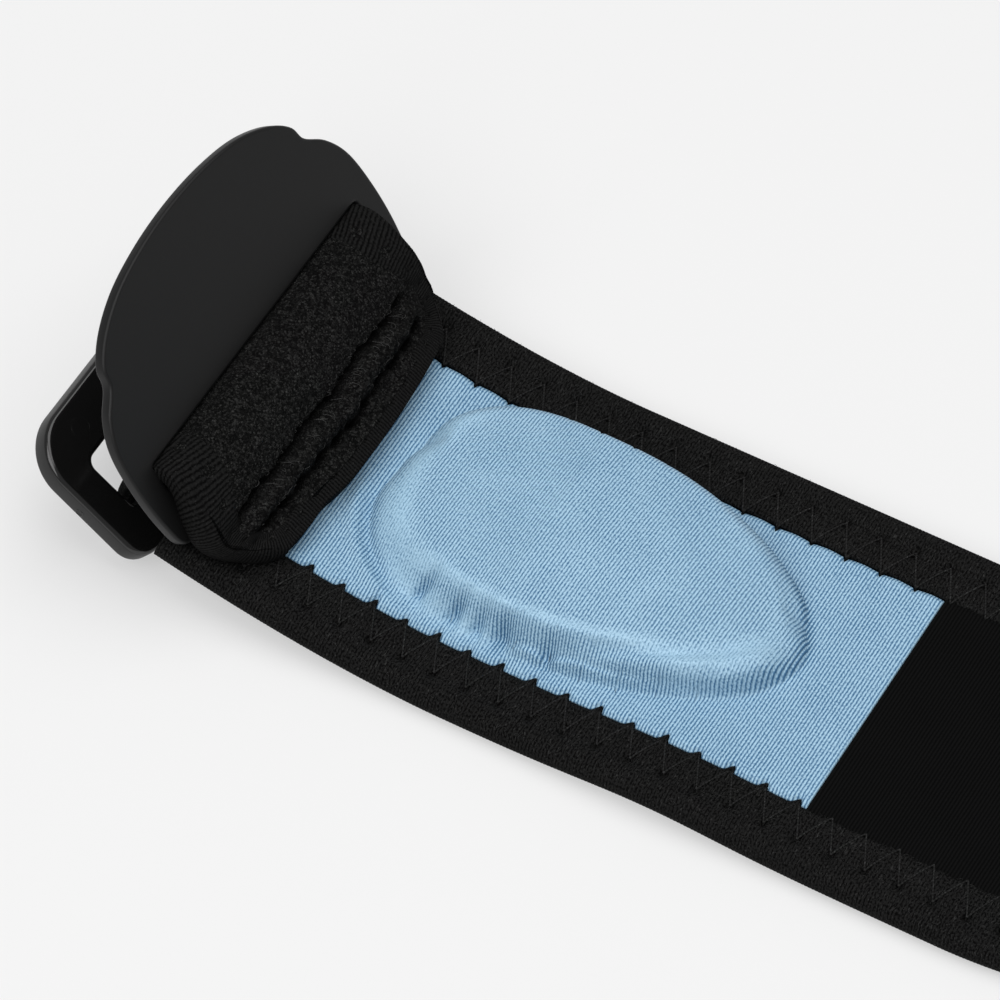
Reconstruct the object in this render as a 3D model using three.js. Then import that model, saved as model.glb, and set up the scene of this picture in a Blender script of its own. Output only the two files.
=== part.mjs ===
// Tennis elbow support: a bound knit strap lying inner side up, with a lined pressure pad,
// a folded end tab, a slotted shield plate and a closing loop.
// Millimetres, +Z up. x runs along the strap from the pad's middle towards the free end,
// y across it, z up from the surface that it lies on.
import * as THREE from "three";

// Clearance kept between neighbouring pieces, and the least step between a cloth's centre and its border
const GAP = 0.3;
const STEP = 0.05;

// Strap: its ends along x, its widths, and the taper to the closing end
const STRAP_START = -60.5;
const STRAP_END = 248;
const STRAP_HALF = 34.8;
const CLOSING_HALF = 25;
const TAPER_START = 80;
const TAPER_END = 150;
const END_RADIUS = 14;
const STRAP_THICK = 4.4;

// How the strap lies: the loop end curls up, and the free end rides on its hook patch
const CURL_START = -8;
const CURL_RISE = 8.8;
const CURL_POWER = 1.8;
const RIDE_START = 172;
const RIDE_END = 196;
const RIDE_HEIGHT = 1.5;

// Sections along the curl, the bare loop end, the taper and the ride, and round each corner
const CURL_STEPS = 15;
const BARE_STEPS = 3;
const TAPER_STEPS = 7;
const RIDE_STEPS = 4;
const CORNER_STEPS = 6;

// Binding: cloth thickness, reach over each face, rounding of its fold
const BIND_THICK = 1.0;
const BIND_REACH = 11.2;
const BIND_ROUND = 1.4;

// Zigzag seam along the lining: its teeth, and how far each station of a tooth reaches in
const SEAM_TEETH = 16;
const SEAM_SHAPE = [
  { phase: 0.0, reach: 1.5 },
  { phase: 0.22, reach: 0.1 },
  { phase: 0.6, reach: -0.4 },
];

// Lining panel and the egg-shaped pad below it
const PANEL_START = -50;
const PANEL_END = 51.4;
const PANEL_THICK = 1.0;
const PANEL_COLUMNS = [-1, -0.88, -0.76, -0.62, -0.46, -0.28, -0.08, 0.14, 0.36, 0.57, 0.74, 0.87, 0.96, 1];
const PAD = { middleX: -8, middleY: 1.2, blunt: 28, pointed: 46, half: 20.6, narrowing: 0.3, height: 9 };
const PAD_LEAN = 0.16;
const PAD_ROUNDING = 0.36;
const LINING_SPREAD = 1.16;
const SEAM_RISE = 1.6;
const PAD_COLUMNS = [-0.97, -0.8, -0.55, -0.28, 0, 0.28, 0.55, 0.8, 0.97];
const PAD_ROWS = [-0.98, -0.88, -0.7, -0.45, -0.2, 0, 0.2, 0.4, 0.58, 0.74, 0.87, 0.95, 0.985];

// Gathers of the lining on the pad's near flank
const GATHER = { from: -16, to: 22, pitch: 9.5, depth: 0.9, flank: -15, spread: 5 };

// Shield plate: leaning plane through its slot, outline as half widths along it
const PLATE = { x: -61.8, y: 0.85, z: 26.7, tilt: 57, thick: 2.2, edge: 0.4 };
const PLATE_SLOT = { low: -4.9, high: 0.2, half: 31.6, radius: 0.6 };
const PLATE_OUTLINE = [
  { along: -15.2, half: 31.6 },
  { along: -13.4, half: 35 },
  { along: -9.3, half: 36.1 },
  { along: -0.8, half: 36.6 },
  { along: 7.2, half: 35.7 },
  { along: 11.8, half: 33.3 },
  { along: 15.4, half: 29.7 },
  { along: 18.2, half: 28.9 },
  { along: 21.5, half: 25.6 },
  { along: 24.8, half: 19 },
  { along: 26.7, half: 10.4 },
];
const PLATE_TOP = 27.4;

// Closing loop: bar axis, lean at rest, and its frame measured from the bar
const LOOP = { x: -66.6, z: 7.2, tilt: 38, half: 34.8, thick: 4.4, edge: 0.8 };
const LOOP_BAR = { half: 2.5, corner: 4.6 };
const LOOP_TIP = { at: 22.4, corner: 8.6 };
const LOOP_WINDOW = { to: 13.2, half: 28.3, radius: 1.2 };

// Fold tab: cloth wrapped round the loop's bar, then up through the slot and down on the lining
const WRAP_RADIUS = 4.6;
const WRAP_ANGLES = [270, 230, 190, 158];
const TAB_UNDER = [
  { x: -50, z: 3.9, thick: 2.8, half: 27.7 },
  { x: -54, z: 4.1, thick: 2.8, half: 27.7 },
  { x: -60, z: 3.5, thick: 2.8, half: 27.7 },
];
const TAB_BACK = [
  { x: -68.6, z: 14.8, thick: 2.8, half: 27.7 },
  { x: -66.5, z: 19.6, thick: 2.8, half: 29 },
  { x: -64.1, z: 23.1, thick: 2.8, half: 30 },
];
const TAB_FRONT = [
  { x: -60.8, z: 25.1, thick: 3.0, half: 30.3 },
  { x: -57.2, z: 24.5, thick: 4.8, half: 31 },
  { x: -53.3, z: 21.1, thick: 7.0, half: 30.8 },
  { x: -50.2, z: 16.8, thick: 6.4, half: 30.2 },
  { x: -47.9, z: 14.3, thick: 6.6, half: 30.2 },
  { x: -45.6, z: 12.6, thick: 4.6, half: 30.2 },
  { x: -43.9, z: 11.7, thick: 4.8, half: 30.2 },
  { x: -42, z: 10.9, thick: 3.7, half: 30.2 },
];
const TAB_STATIONS = 42;
const TAB_FINENESS = 24;
const TAB_CORNER = 9;
const TAB_BIND_REACH = 8.6;
const TAB_END_SHARE = 0.62;
const TAB_BIND_SIDES = 13;
const TAB_BIND_STOPS = [1, 0.5];
const TAB_BIND_DELAY = 3.2;

// Hook patch under the free end
const PATCH = { from: 198, to: 240, half: 20, thick: 1.2, corner: 5 };

const INK = new THREE.Color(0x161617);
const FINISH = {
  strap_band: { color: INK, roughness: 0.95 },
  edge_binding: { color: new THREE.Color(0x1b1b1c), roughness: 0.92 },
  lining_panel: { color: new THREE.Color(0x86b3d6), roughness: 0.7 },
  pressure_pad: { color: new THREE.Color(0x8fa3b3), roughness: 0.6 },
  fold_tab: { color: new THREE.Color(0x191919), roughness: 1.0 },
  tab_binding: { color: new THREE.Color(0x1b1b1c), roughness: 0.92 },
  shield_plate: { color: new THREE.Color(0x2a2a2b), roughness: 0.55 },
  buckle_loop: { color: new THREE.Color(0x111112), roughness: 0.35 },
  hook_patch: { color: new THREE.Color(0x151515), roughness: 0.9 },
};

const radians = THREE.MathUtils.degToRad;
const smooth = (value, from, to) => THREE.MathUtils.smoothstep(value, from, to);
const turn = (part) => Math.sin((part * Math.PI) / 2);

// Evenly spaced values, both ends included
function spread(from, to, steps) {
  return Array.from({ length: steps + 1 }, (_, step) => from + ((to - from) * step) / steps);
}

// Height of the strap's underside at x
function underside(x) {
  const curl = x < CURL_START ? CURL_RISE * ((CURL_START - x) / (CURL_START - STRAP_START)) ** CURL_POWER : 0;
  return curl + RIDE_HEIGHT * smooth(x, RIDE_START, RIDE_END);
}

// Point at x along the strap, y across it and n above its underside, square to it
function onStrap(x, y, n) {
  const step = 0.05;
  const slope = (underside(x + step) - underside(x - step)) / (2 * step);
  const scale = n / Math.hypot(1, slope);
  return new THREE.Vector3(x - slope * scale, y, underside(x) + scale);
}

// Half width of the strap, without the rounding of its free end
function strapHalf(x) {
  return STRAP_HALF + (CLOSING_HALF - STRAP_HALF) * smooth(x, TAPER_START, TAPER_END);
}

// End face of a ring whose second half runs back below its first half
function ladder(section) {
  const last = section.length - 1;
  const faces = [];
  for (let step = 0; step + 1 < section.length / 2; step += 1) {
    faces.push([step, step + 1, last - step - 1], [step, last - step - 1, last - step]);
  }
  return faces;
}

const outlined = (section) => THREE.ShapeUtils.triangulateShape(section, []);

// Closed solid through rings of points, each ring drawn from a flat section of the same outline
function loft(rings, sections, endFace = outlined) {
  const count = rings[0].length;
  const positions = rings.flat().flatMap((point) => [point.x, point.y, point.z]);
  const faces = [];
  for (let ring = 0; ring + 1 < rings.length; ring += 1) {
    for (let side = 0; side < count; side += 1) {
      const next = (side + 1) % count;
      const a = ring * count + side;
      const b = ring * count + next;
      faces.push(a, b, b + count, a, b + count, a + count);
    }
  }
  const last = (rings.length - 1) * count;
  for (const [a, b, c] of endFace(sections[0])) {
    faces.push(a, c, b);
  }
  for (const [a, b, c] of endFace(sections[sections.length - 1])) {
    faces.push(last + a, last + b, last + c);
  }
  return facingOut(positions, faces);
}

// Geometry with its faces turned outwards
function facingOut(positions, faces) {
  const corner = (index) => new THREE.Vector3().fromArray(positions, 3 * index);
  let volume = 0;
  for (let i = 0; i < faces.length; i += 3) {
    volume += corner(faces[i]).dot(corner(faces[i + 1]).cross(corner(faces[i + 2])));
  }
  const geometry = new THREE.BufferGeometry();
  geometry.setAttribute("position", new THREE.Float32BufferAttribute(positions, 3));
  geometry.setIndex(volume > 0 ? faces : faces.reverse());
  return geometry;
}

// Flat cloth section with thin borders that a binding folds over, as (y, n) points
function clothSection({ half, reach, low, high, lowBorder, highBorder }) {
  const inner = half - reach;
  const right = [
    [inner, low], [inner, lowBorder], [half, lowBorder], [half, highBorder], [inner, highBorder], [inner, high],
  ];
  const left = right.map(([y, n]) => [-y, n]).reverse();
  return [...right, ...left].map(([y, n]) => new THREE.Vector2(y, n));
}

// Folded binding section: inward distance from its fold, and height n, with stops along each lip
function bindingSection({ upperReach, lowerReach, low, high, stops = [1] }) {
  const round = Math.min(BIND_ROUND, (high - low) / 2 - 0.1);
  const soft = 0.3 * round;
  const lip = (reach, n) => stops.map((share) => [BIND_ROUND + share * (reach - BIND_ROUND), n]);
  return [
    ...lip(upperReach, high),
    [round, high], [soft, high - soft], [0, high - round], [0, low + round], [soft, low + soft], [round, low],
    ...lip(lowerReach, low).reverse(),
    ...lip(lowerReach, low + BIND_THICK),
    [BIND_THICK, low + BIND_THICK], [BIND_THICK, high - BIND_THICK],
    ...lip(upperReach, high - BIND_THICK).reverse(),
  ].map(([inward, n]) => new THREE.Vector2(inward, n));
}

// Stations along the lining with the extra reach of its zigzag seam
function seamStations() {
  const pitch = (PANEL_END - PANEL_START) / SEAM_TEETH;
  const stations = [];
  for (let tooth = 0; tooth < SEAM_TEETH; tooth += 1) {
    for (const { phase, reach } of SEAM_SHAPE) {
      stations.push({ x: PANEL_START + (tooth + phase) * pitch, reach });
    }
  }
  return [...stations, { x: PANEL_END, reach: 0 }];
}

// Stations past the lining, along the taper and the ride, to where the free end's corners begin
function closingStations() {
  const taper = spread(TAPER_START, TAPER_END, TAPER_STEPS);
  return [PANEL_END + GAP, ...taper, ...spread(RIDE_START, RIDE_END, RIDE_STEPS)];
}

function strapBand() {
  const trim = BIND_THICK + GAP;
  const radius = END_RADIUS - trim;
  const corner = STRAP_END - END_RADIUS;
  const curl = spread(STRAP_START, CURL_START, CURL_STEPS);
  const end = spread(0, 1, CORNER_STEPS).slice(1).map((part) => corner + radius * turn(part));
  const sections = [];
  const rings = [];
  for (const x of [...curl, PANEL_END, ...closingStations(), corner, corner + GAP, ...end]) {
    const past = Math.max(0, x - corner);
    const rounding = radius - Math.sqrt(Math.max(radius ** 2 - past ** 2, 0));
    const bare = x > PANEL_END && x <= corner;
    const section = clothSection({
      half: strapHalf(x) - trim - rounding,
      reach: BIND_REACH - BIND_THICK,
      low: x <= corner ? 0 : trim - STEP,
      high: bare ? STRAP_THICK - GAP : STRAP_THICK - trim,
      lowBorder: trim,
      highBorder: STRAP_THICK - trim - STEP,
    });
    sections.push(section);
    rings.push(section.map((point) => onStrap(x, point.x, point.y)));
  }
  return loft(rings, sections);
}

// Route of the edge binding: along the near edge, round the free end, back along the far edge
function bindingRoute() {
  const bare = spread(STRAP_START, PANEL_START, BARE_STEPS).slice(0, -1);
  const plain = (x) => ({ x, reach: 0 });
  const edge = [...bare.map(plain), ...seamStations(), ...closingStations().map(plain)];
  const near = edge.map(({ x, reach }) => ({ x, y: -strapHalf(x), inX: 0, inY: 1, reach }));
  const far = edge.map(({ x, reach }) => ({ x, y: strapHalf(x), inX: 0, inY: -1, reach })).reverse();
  const corners = [-1, 1].flatMap((side) => {
    const corner = spread(0, 1, CORNER_STEPS).map((part) => {
      const outX = turn(part);
      const outY = side * turn(1 - part);
      const x = STRAP_END - END_RADIUS + END_RADIUS * outX;
      const y = side * (CLOSING_HALF - END_RADIUS) + END_RADIUS * outY;
      return { x, y, inX: -outX, inY: -outY, reach: 0 };
    });
    return side < 0 ? corner : corner.reverse();
  });
  return [...near, ...corners, ...far];
}

function edgeBinding() {
  const sections = [];
  const rings = [];
  for (const { x, y, inX, inY, reach } of bindingRoute()) {
    const section = bindingSection({
      upperReach: BIND_REACH + reach,
      lowerReach: BIND_REACH,
      low: 0,
      high: STRAP_THICK,
    });
    sections.push(section);
    rings.push(section.map((point) => onStrap(x + inX * point.x, y + inY * point.x, point.y)));
  }
  return loft(rings, sections);
}

// Squared distance from the pad's middle, 1 at its egg-shaped outline
function padRadius(x, y) {
  const along = x - PAD.middleX;
  const reach = along < 0 ? PAD.blunt : PAD.pointed;
  const half = PAD.half * (1 - (along > 0 ? PAD.narrowing * (along / reach) : 0));
  return (along / reach) ** 2 + ((y - PAD.middleY) / half) ** 2;
}

// Height of the dome, which leans up to the far side
function domeHeight(radius, y) {
  const height = PAD.height * (1 + (PAD_LEAN * (y - PAD.middleY)) / PAD.half);
  return radius < 1 ? height * (1 - radius) ** PAD_ROUNDING : 0;
}

// Rise of the lining over the pad, held down at its seam and pulled into gathers on the near flank
function liningRise(x, y, half) {
  const rise = domeHeight(padRadius(x, y) / LINING_SPREAD, y) * smooth(half - Math.abs(y), 0, SEAM_RISE);
  const { from, to, pitch, depth, flank, spread: width } = GATHER;
  const along = smooth(x, from, from + pitch) * (1 - smooth(x, to - pitch, to));
  const across = Math.exp(-(((y - flank) / width) ** 2));
  const fold = 0.5 - 0.5 * Math.cos((2 * Math.PI * (x - from)) / pitch);
  return rise + (rise > 0 ? depth * along * across * fold : 0);
}

function liningPanel() {
  const top = STRAP_THICK;
  const sections = [];
  const rings = [];
  for (const { x, reach } of seamStations()) {
    const half = STRAP_HALF - BIND_REACH - reach - GAP;
    const upper = PANEL_COLUMNS.map((part) => {
      const y = part * half;
      return new THREE.Vector2(y, top + liningRise(x, y, half));
    });
    const lower = upper.map((point) => new THREE.Vector2(point.x, point.y - PANEL_THICK)).reverse();
    const section = [...upper, ...lower];
    sections.push(section);
    rings.push(section.map((point) => onStrap(x, point.x, point.y)));
  }
  return loft(rings, sections, ladder);
}

function pressurePad() {
  const base = STRAP_THICK - PANEL_THICK;
  const sections = [];
  const rings = [];
  for (const row of PAD_ROWS) {
    const x = PAD.middleX + row * (row < 0 ? PAD.blunt : PAD.pointed);
    const narrow = 1 - (row > 0 ? PAD.narrowing * row : 0);
    const half = PAD.half * narrow * Math.sqrt(1 - row ** 2);
    const upper = PAD_COLUMNS.map((part) => {
      const y = PAD.middleY + part * half;
      return new THREE.Vector2(y, base + Math.max(domeHeight(padRadius(x, y), y) - GAP, GAP));
    });
    const lower = upper.map((point) => new THREE.Vector2(point.x, base)).reverse();
    const section = [...upper, ...lower];
    sections.push(section);
    rings.push(section.map((point) => onStrap(x, point.x, point.y)));
  }
  return loft(rings, sections, ladder);
}

// Rows of the tab's cloth from below the strap, round the bar, through the slot to its free end
function tabRows() {
  const { thick, half } = TAB_UNDER[0];
  const wrap = WRAP_ANGLES.map((angle) => ({
    x: LOOP.x + WRAP_RADIUS * Math.cos(radians(angle)),
    z: LOOP.z + WRAP_RADIUS * Math.sin(radians(angle)),
    thick,
    half,
  }));
  return [...TAB_UNDER, ...wrap, ...TAB_BACK, ...TAB_FRONT];
}

// The tab's cloth measured along its middle line: place, heading, thickness and half width
function tabCloth() {
  const rows = tabRows();
  const line = new THREE.CatmullRomCurve3(rows.map(({ x, z }) => new THREE.Vector3(x, 0, z)));
  const size = new THREE.CatmullRomCurve3(rows.map(({ thick, half }) => new THREE.Vector3(thick, half, 0)));
  const lengths = line.getLengths((rows.length - 1) * TAB_FINENESS);
  const length = lengths[lengths.length - 1];
  const sizeAt = (along) => {
    const { x: thick, y: half } = size.getPoint(line.getUtoTmapping(along / length));
    return { thick, half };
  };
  const point = (along, y, n) => {
    const middle = line.getPointAt(along / length);
    const heading = line.getTangentAt(along / length);
    return new THREE.Vector3(middle.x - heading.z * n, y, middle.z + heading.x * n);
  };
  return { length, slot: lengths[(rows.length - TAB_FRONT.length) * TAB_FINENESS], sizeAt, point };
}

function foldTab() {
  const cloth = tabCloth();
  const trim = BIND_THICK + GAP;
  const radius = TAB_CORNER - trim;
  const corner = cloth.length - TAB_CORNER;
  const centreEnd = cloth.length - TAB_BIND_REACH * TAB_END_SHARE - GAP;
  const end = spread(0, 1, CORNER_STEPS).map((part) => corner + radius * turn(part));
  const beyond = end.filter((along) => along > centreEnd + GAP);
  const sections = [];
  const rings = [];
  for (const along of [...spread(0, corner, TAB_STATIONS), centreEnd - GAP, centreEnd - STEP, ...beyond]) {
    const { thick, half } = cloth.sizeAt(along);
    const bound = smooth(along, cloth.slot, cloth.slot + TAB_BIND_DELAY);
    const past = Math.max(0, along - corner);
    const rounding = radius - Math.sqrt(Math.max(radius ** 2 - past ** 2, 0));
    const border = thick / 2 - trim * bound - STEP;
    const centre = along < centreEnd - STEP ? thick / 2 : border + STEP;
    const section = clothSection({
      half: half - trim * bound - rounding,
      reach: TAB_BIND_REACH - BIND_THICK,
      low: -centre,
      high: centre,
      lowBorder: -border,
      highBorder: border,
    });
    sections.push(section);
    rings.push(section.map((point) => cloth.point(along, point.x, point.y)));
  }
  return loft(rings, sections);
}

// Route of the tab's binding, flat along and across its cloth: one edge, the end, the other edge
function tabBindingRoute(cloth) {
  const start = cloth.slot + TAB_BIND_DELAY;
  const corner = cloth.length - TAB_CORNER;
  const endHalf = cloth.sizeAt(cloth.length).half;
  return [-1, 1].flatMap((side) => {
    const edge = spread(start, corner, TAB_BIND_SIDES).slice(0, -1);
    const run = [
      ...edge.map((along) => ({ along, y: side * cloth.sizeAt(along).half, inAlong: 0, inY: -side })),
      ...spread(0, 1, CORNER_STEPS).map((part) => {
        const outAlong = turn(part);
        const outY = side * turn(1 - part);
        const y = side * (endHalf - TAB_CORNER) + TAB_CORNER * outY;
        return { along: corner + TAB_CORNER * outAlong, y, inAlong: -outAlong, inY: -outY };
      }),
    ];
    return side < 0 ? run : run.reverse();
  });
}

function tabBinding() {
  const cloth = tabCloth();
  const sections = [];
  const rings = [];
  for (const { along, y, inAlong, inY } of tabBindingRoute(cloth)) {
    const { thick } = cloth.sizeAt(along);
    const reach = TAB_BIND_REACH * (1 + (TAB_END_SHARE - 1) * Math.abs(inAlong));
    const section = bindingSection({
      upperReach: reach,
      lowerReach: reach,
      low: -thick / 2,
      high: thick / 2,
      stops: TAB_BIND_STOPS,
    });
    sections.push(section);
    rings.push(
      section.map((point) => {
        const place = along + inAlong * point.x;
        const swell = (cloth.sizeAt(place).thick - thick) / 2;
        return cloth.point(place, y + inY * point.x, point.y + Math.sign(point.y) * swell);
      }),
    );
  }
  return loft(rings, sections);
}

// Group whose local x is across the strap, y up a leaning plane and z out of its upper face
function leaning(mesh, { x, y = 0, z, tilt }) {
  const lean = radians(tilt);
  const across = new THREE.Vector3(0, 1, 0);
  const up = new THREE.Vector3(-Math.cos(lean), 0, Math.sin(lean));
  const out = new THREE.Vector3(Math.sin(lean), 0, Math.cos(lean));
  const group = new THREE.Group();
  group.setRotationFromMatrix(new THREE.Matrix4().makeBasis(across, up, out));
  group.position.set(x, y, z);
  group.add(mesh);
  return group;
}

function slabGeometry(shape, thick, edge, curveSegments) {
  return new THREE.ExtrudeGeometry(shape, {
    depth: thick - 2 * edge,
    bevelThickness: edge,
    bevelSize: edge,
    bevelOffset: -edge,
    bevelSegments: 1,
    curveSegments,
  }).translate(0, 0, edge);
}

// Rectangle from -half to half with rounded corners, which may differ between its low and its high side
function roundedRectangle(path, half, low, high, lowRadius, highRadius = lowRadius) {
  const bottom = { x: half - lowRadius, y: low + lowRadius };
  const top = { x: half - highRadius, y: high - highRadius };
  path.moveTo(-bottom.x, low);
  path.absarc(bottom.x, bottom.y, lowRadius, -Math.PI / 2, 0, false);
  path.absarc(top.x, top.y, highRadius, 0, Math.PI / 2, false);
  path.absarc(-top.x, top.y, highRadius, Math.PI / 2, Math.PI, false);
  path.absarc(-bottom.x, bottom.y, lowRadius, Math.PI, 1.5 * Math.PI, false);
  return path;
}

function shieldPlate() {
  const right = PLATE_OUTLINE.map(({ along, half }) => new THREE.Vector2(half, along));
  const left = PLATE_OUTLINE.map(({ along, half }) => new THREE.Vector2(-half, along)).reverse();
  const outline = new THREE.Shape();
  outline.moveTo(right[0].x, right[0].y);
  outline.splineThru([...right.slice(1), new THREE.Vector2(0, PLATE_TOP), ...left]);
  const { low, high, half, radius } = PLATE_SLOT;
  outline.holes.push(roundedRectangle(new THREE.Path(), half, low, high, radius));
  return slabGeometry(outline, PLATE.thick, PLATE.edge, 3).translate(0, 0, -PLATE.thick);
}

function buckleLoop() {
  const { half: bar, corner } = LOOP_BAR;
  const outline = roundedRectangle(new THREE.Shape(), LOOP.half, -bar, LOOP_TIP.at, corner, LOOP_TIP.corner);
  const { to, half, radius } = LOOP_WINDOW;
  outline.holes.push(roundedRectangle(new THREE.Path(), half, bar, to, radius));
  return slabGeometry(outline, LOOP.thick, LOOP.edge, 5).translate(0, 0, -LOOP.thick / 2);
}

function hookPatch() {
  const { from, to, half, thick, corner } = PATCH;
  const outline = roundedRectangle(new THREE.Shape(), half, -to, -from, corner);
  const patch = new THREE.ExtrudeGeometry(outline, { depth: thick, bevelEnabled: false, curveSegments: 4 });
  return patch.rotateZ(Math.PI / 2);
}

function piece(name, geometry) {
  const mesh = new THREE.Mesh(geometry, new THREE.MeshStandardMaterial({ ...FINISH[name], metalness: 0 }));
  mesh.name = name;
  return mesh;
}

const support = new THREE.Group();
support.add(
  piece("strap_band", strapBand()),
  piece("edge_binding", edgeBinding()),
  piece("lining_panel", liningPanel()),
  piece("pressure_pad", pressurePad()),
  piece("fold_tab", foldTab()),
  piece("tab_binding", tabBinding()),
  leaning(piece("shield_plate", shieldPlate()), PLATE),
  leaning(piece("buckle_loop", buckleLoop()), LOOP),
  piece("hook_patch", hookPatch()),
);

// The origin is on the resting surface, below the middle of the whole support
const extent = new THREE.Box3().setFromObject(support, true);
const middle = extent.getCenter(new THREE.Vector3());
support.position.set(-middle.x, -middle.y, -extent.min.z);

export default support;
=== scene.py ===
"""Tennis elbow support: a bound knit strap lying inner side up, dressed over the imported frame.

Sizes are in millimetres in the strap's own terms: x runs along it from a point on the pad to the
free end, y across it to the far edge, and z up. Datum turns them into the frame's metres.
"""
import logging
import math
from dataclasses import dataclass, field
from enum import Enum

import bmesh
import bpy
import numpy as np
from mathutils import Matrix, Vector


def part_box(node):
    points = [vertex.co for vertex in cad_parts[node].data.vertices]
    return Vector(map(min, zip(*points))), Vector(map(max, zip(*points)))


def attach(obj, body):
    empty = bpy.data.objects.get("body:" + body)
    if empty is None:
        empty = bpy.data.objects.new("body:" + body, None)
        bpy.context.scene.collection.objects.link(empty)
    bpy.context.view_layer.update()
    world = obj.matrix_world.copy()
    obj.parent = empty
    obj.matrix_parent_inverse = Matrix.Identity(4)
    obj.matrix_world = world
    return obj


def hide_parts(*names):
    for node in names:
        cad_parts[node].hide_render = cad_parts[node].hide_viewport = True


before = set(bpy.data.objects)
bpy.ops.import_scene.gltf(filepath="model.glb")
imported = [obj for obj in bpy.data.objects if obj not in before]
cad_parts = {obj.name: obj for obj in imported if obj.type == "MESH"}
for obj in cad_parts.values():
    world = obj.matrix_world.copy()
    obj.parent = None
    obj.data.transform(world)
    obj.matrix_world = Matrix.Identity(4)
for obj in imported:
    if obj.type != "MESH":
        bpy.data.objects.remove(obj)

LOG = logging.getLogger("elbow_support")
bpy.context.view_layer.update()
MM = 0.001
UV_MM = 0.01
SEED = 41
TINY = 1e-9
TURN = 2 * math.pi
QUARTER = math.pi / 2
THREAD_UP = (0.13, 0.21, 0.97)

Array = np.ndarray
Colour = tuple[float, float, float]
Wave = tuple[float, float, float]
Material = bpy.types.Material
Node = bpy.types.Node
Piece = bpy.types.Object
Socket = bpy.types.NodeSocket
Tree = bpy.types.NodeTree


class Body(Enum):
    """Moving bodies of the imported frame."""

    STRAP = "strap"
    LOOP = "loop"


class Slot(Enum):
    """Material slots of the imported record."""

    BAND = "band_knit"
    BINDING = "binding_knit"
    LINING = "lining_knit"
    PAD = "pad_core"
    PILE = "tab_pile"
    PLATE = "plate_plastic"
    LOOP = "loop_plastic"
    HOOK = "hook_tape"


def ease(value: Array, start: float, stop: float) -> Array:
    """Smooth step from 0 at start to 1 at stop."""
    part = np.clip((np.asarray(value, float) - start) / (stop - start), 0.0, 1.0)
    return part * part * (3.0 - 2.0 * part)


def bell(value: Array, middle: float, spread: float) -> Array:
    """Bell curve of height 1 about middle."""
    return np.exp(-(((np.asarray(value, float) - middle) / spread) ** 2))


def ripple(value: Array, waves: tuple[Wave, ...]) -> Array:
    """Sum of sine waves, each given as its height, rate and phase."""
    return sum(height * np.sin(rate * value + phase) for height, rate, phase in waves)


def matched(*values: Array) -> list[Array]:
    """Values as arrays of one shape."""
    return np.broadcast_arrays(*(np.asarray(value, float) for value in values))


def lengths(steps: Array) -> Array:
    """Length along a line at each of its points, from the steps between them."""
    return np.concatenate([[0.0], np.cumsum(steps)])


def plan_lengths(line: Array) -> Array:
    """Length along a line at each of its points, by their first two values."""
    return lengths(np.linalg.norm(np.diff(line[:, :2], axis=0), axis=1))


def two_faced(x: Array, y: Array) -> Array:
    """Cloth coordinates of an upper face and of the lower one that runs back across."""
    return np.stack([np.concatenate([x, x], axis=1), np.concatenate([y, y[:, ::-1]], axis=1)], axis=-1)


def round_end(near: Array, corner: float, radius: float, flat: float, turns: int, end_y: Array) -> Array:
    """Line along a near edge, round a free end and back along the far edge.

    Args:
        near: rows of x, y, inward x and inward y along the near edge.
        corner: x where the end's rounded corners start.
        radius: their radius.
        flat: half the straight part of the end.
        turns: points round a corner.
        end_y: places across the straight part.

    Returns:
        Such rows along the whole line.
    """
    turn = np.linspace(0.0, QUARTER, turns)
    sine, cosine = np.sin(turn), np.cos(turn)
    arc = np.stack([corner + radius * sine, -flat - radius * cosine, -sine, cosine], axis=-1)
    end = np.stack([0 * end_y + corner + radius, end_y, 0 * end_y - 1, 0 * end_y], axis=-1)
    mirror = np.array([1.0, -1.0, 1.0, -1.0])
    return np.concatenate([near, arc, end, (arc * mirror)[::-1], (near * mirror)[::-1]])


def grey(level: float) -> Colour:
    """Plain grey."""
    return (level, level, level)


def placed(name: str, data: bpy.types.ID) -> Piece:
    """Puts a new object with some data in the scene."""
    made = bpy.data.objects.new(name, data)
    bpy.context.scene.collection.objects.link(made)
    return made


@dataclass(frozen=True)
class Datum:
    """Where the strap's own x and y start in the frame.

    Attributes:
        x: metres along the frame.
        y: metres across the frame.
    """

    x: float
    y: float

    def metres(self, points: Array) -> Array:
        """Turns strap millimetres into the frame's metres.

        Args:
            points: coordinates whose last axis is x, y, z.

        Returns:
            The same points in metres in the frame.
        """
        return np.asarray(points, float) * MM + np.array([self.x, self.y, 0.0])


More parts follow.
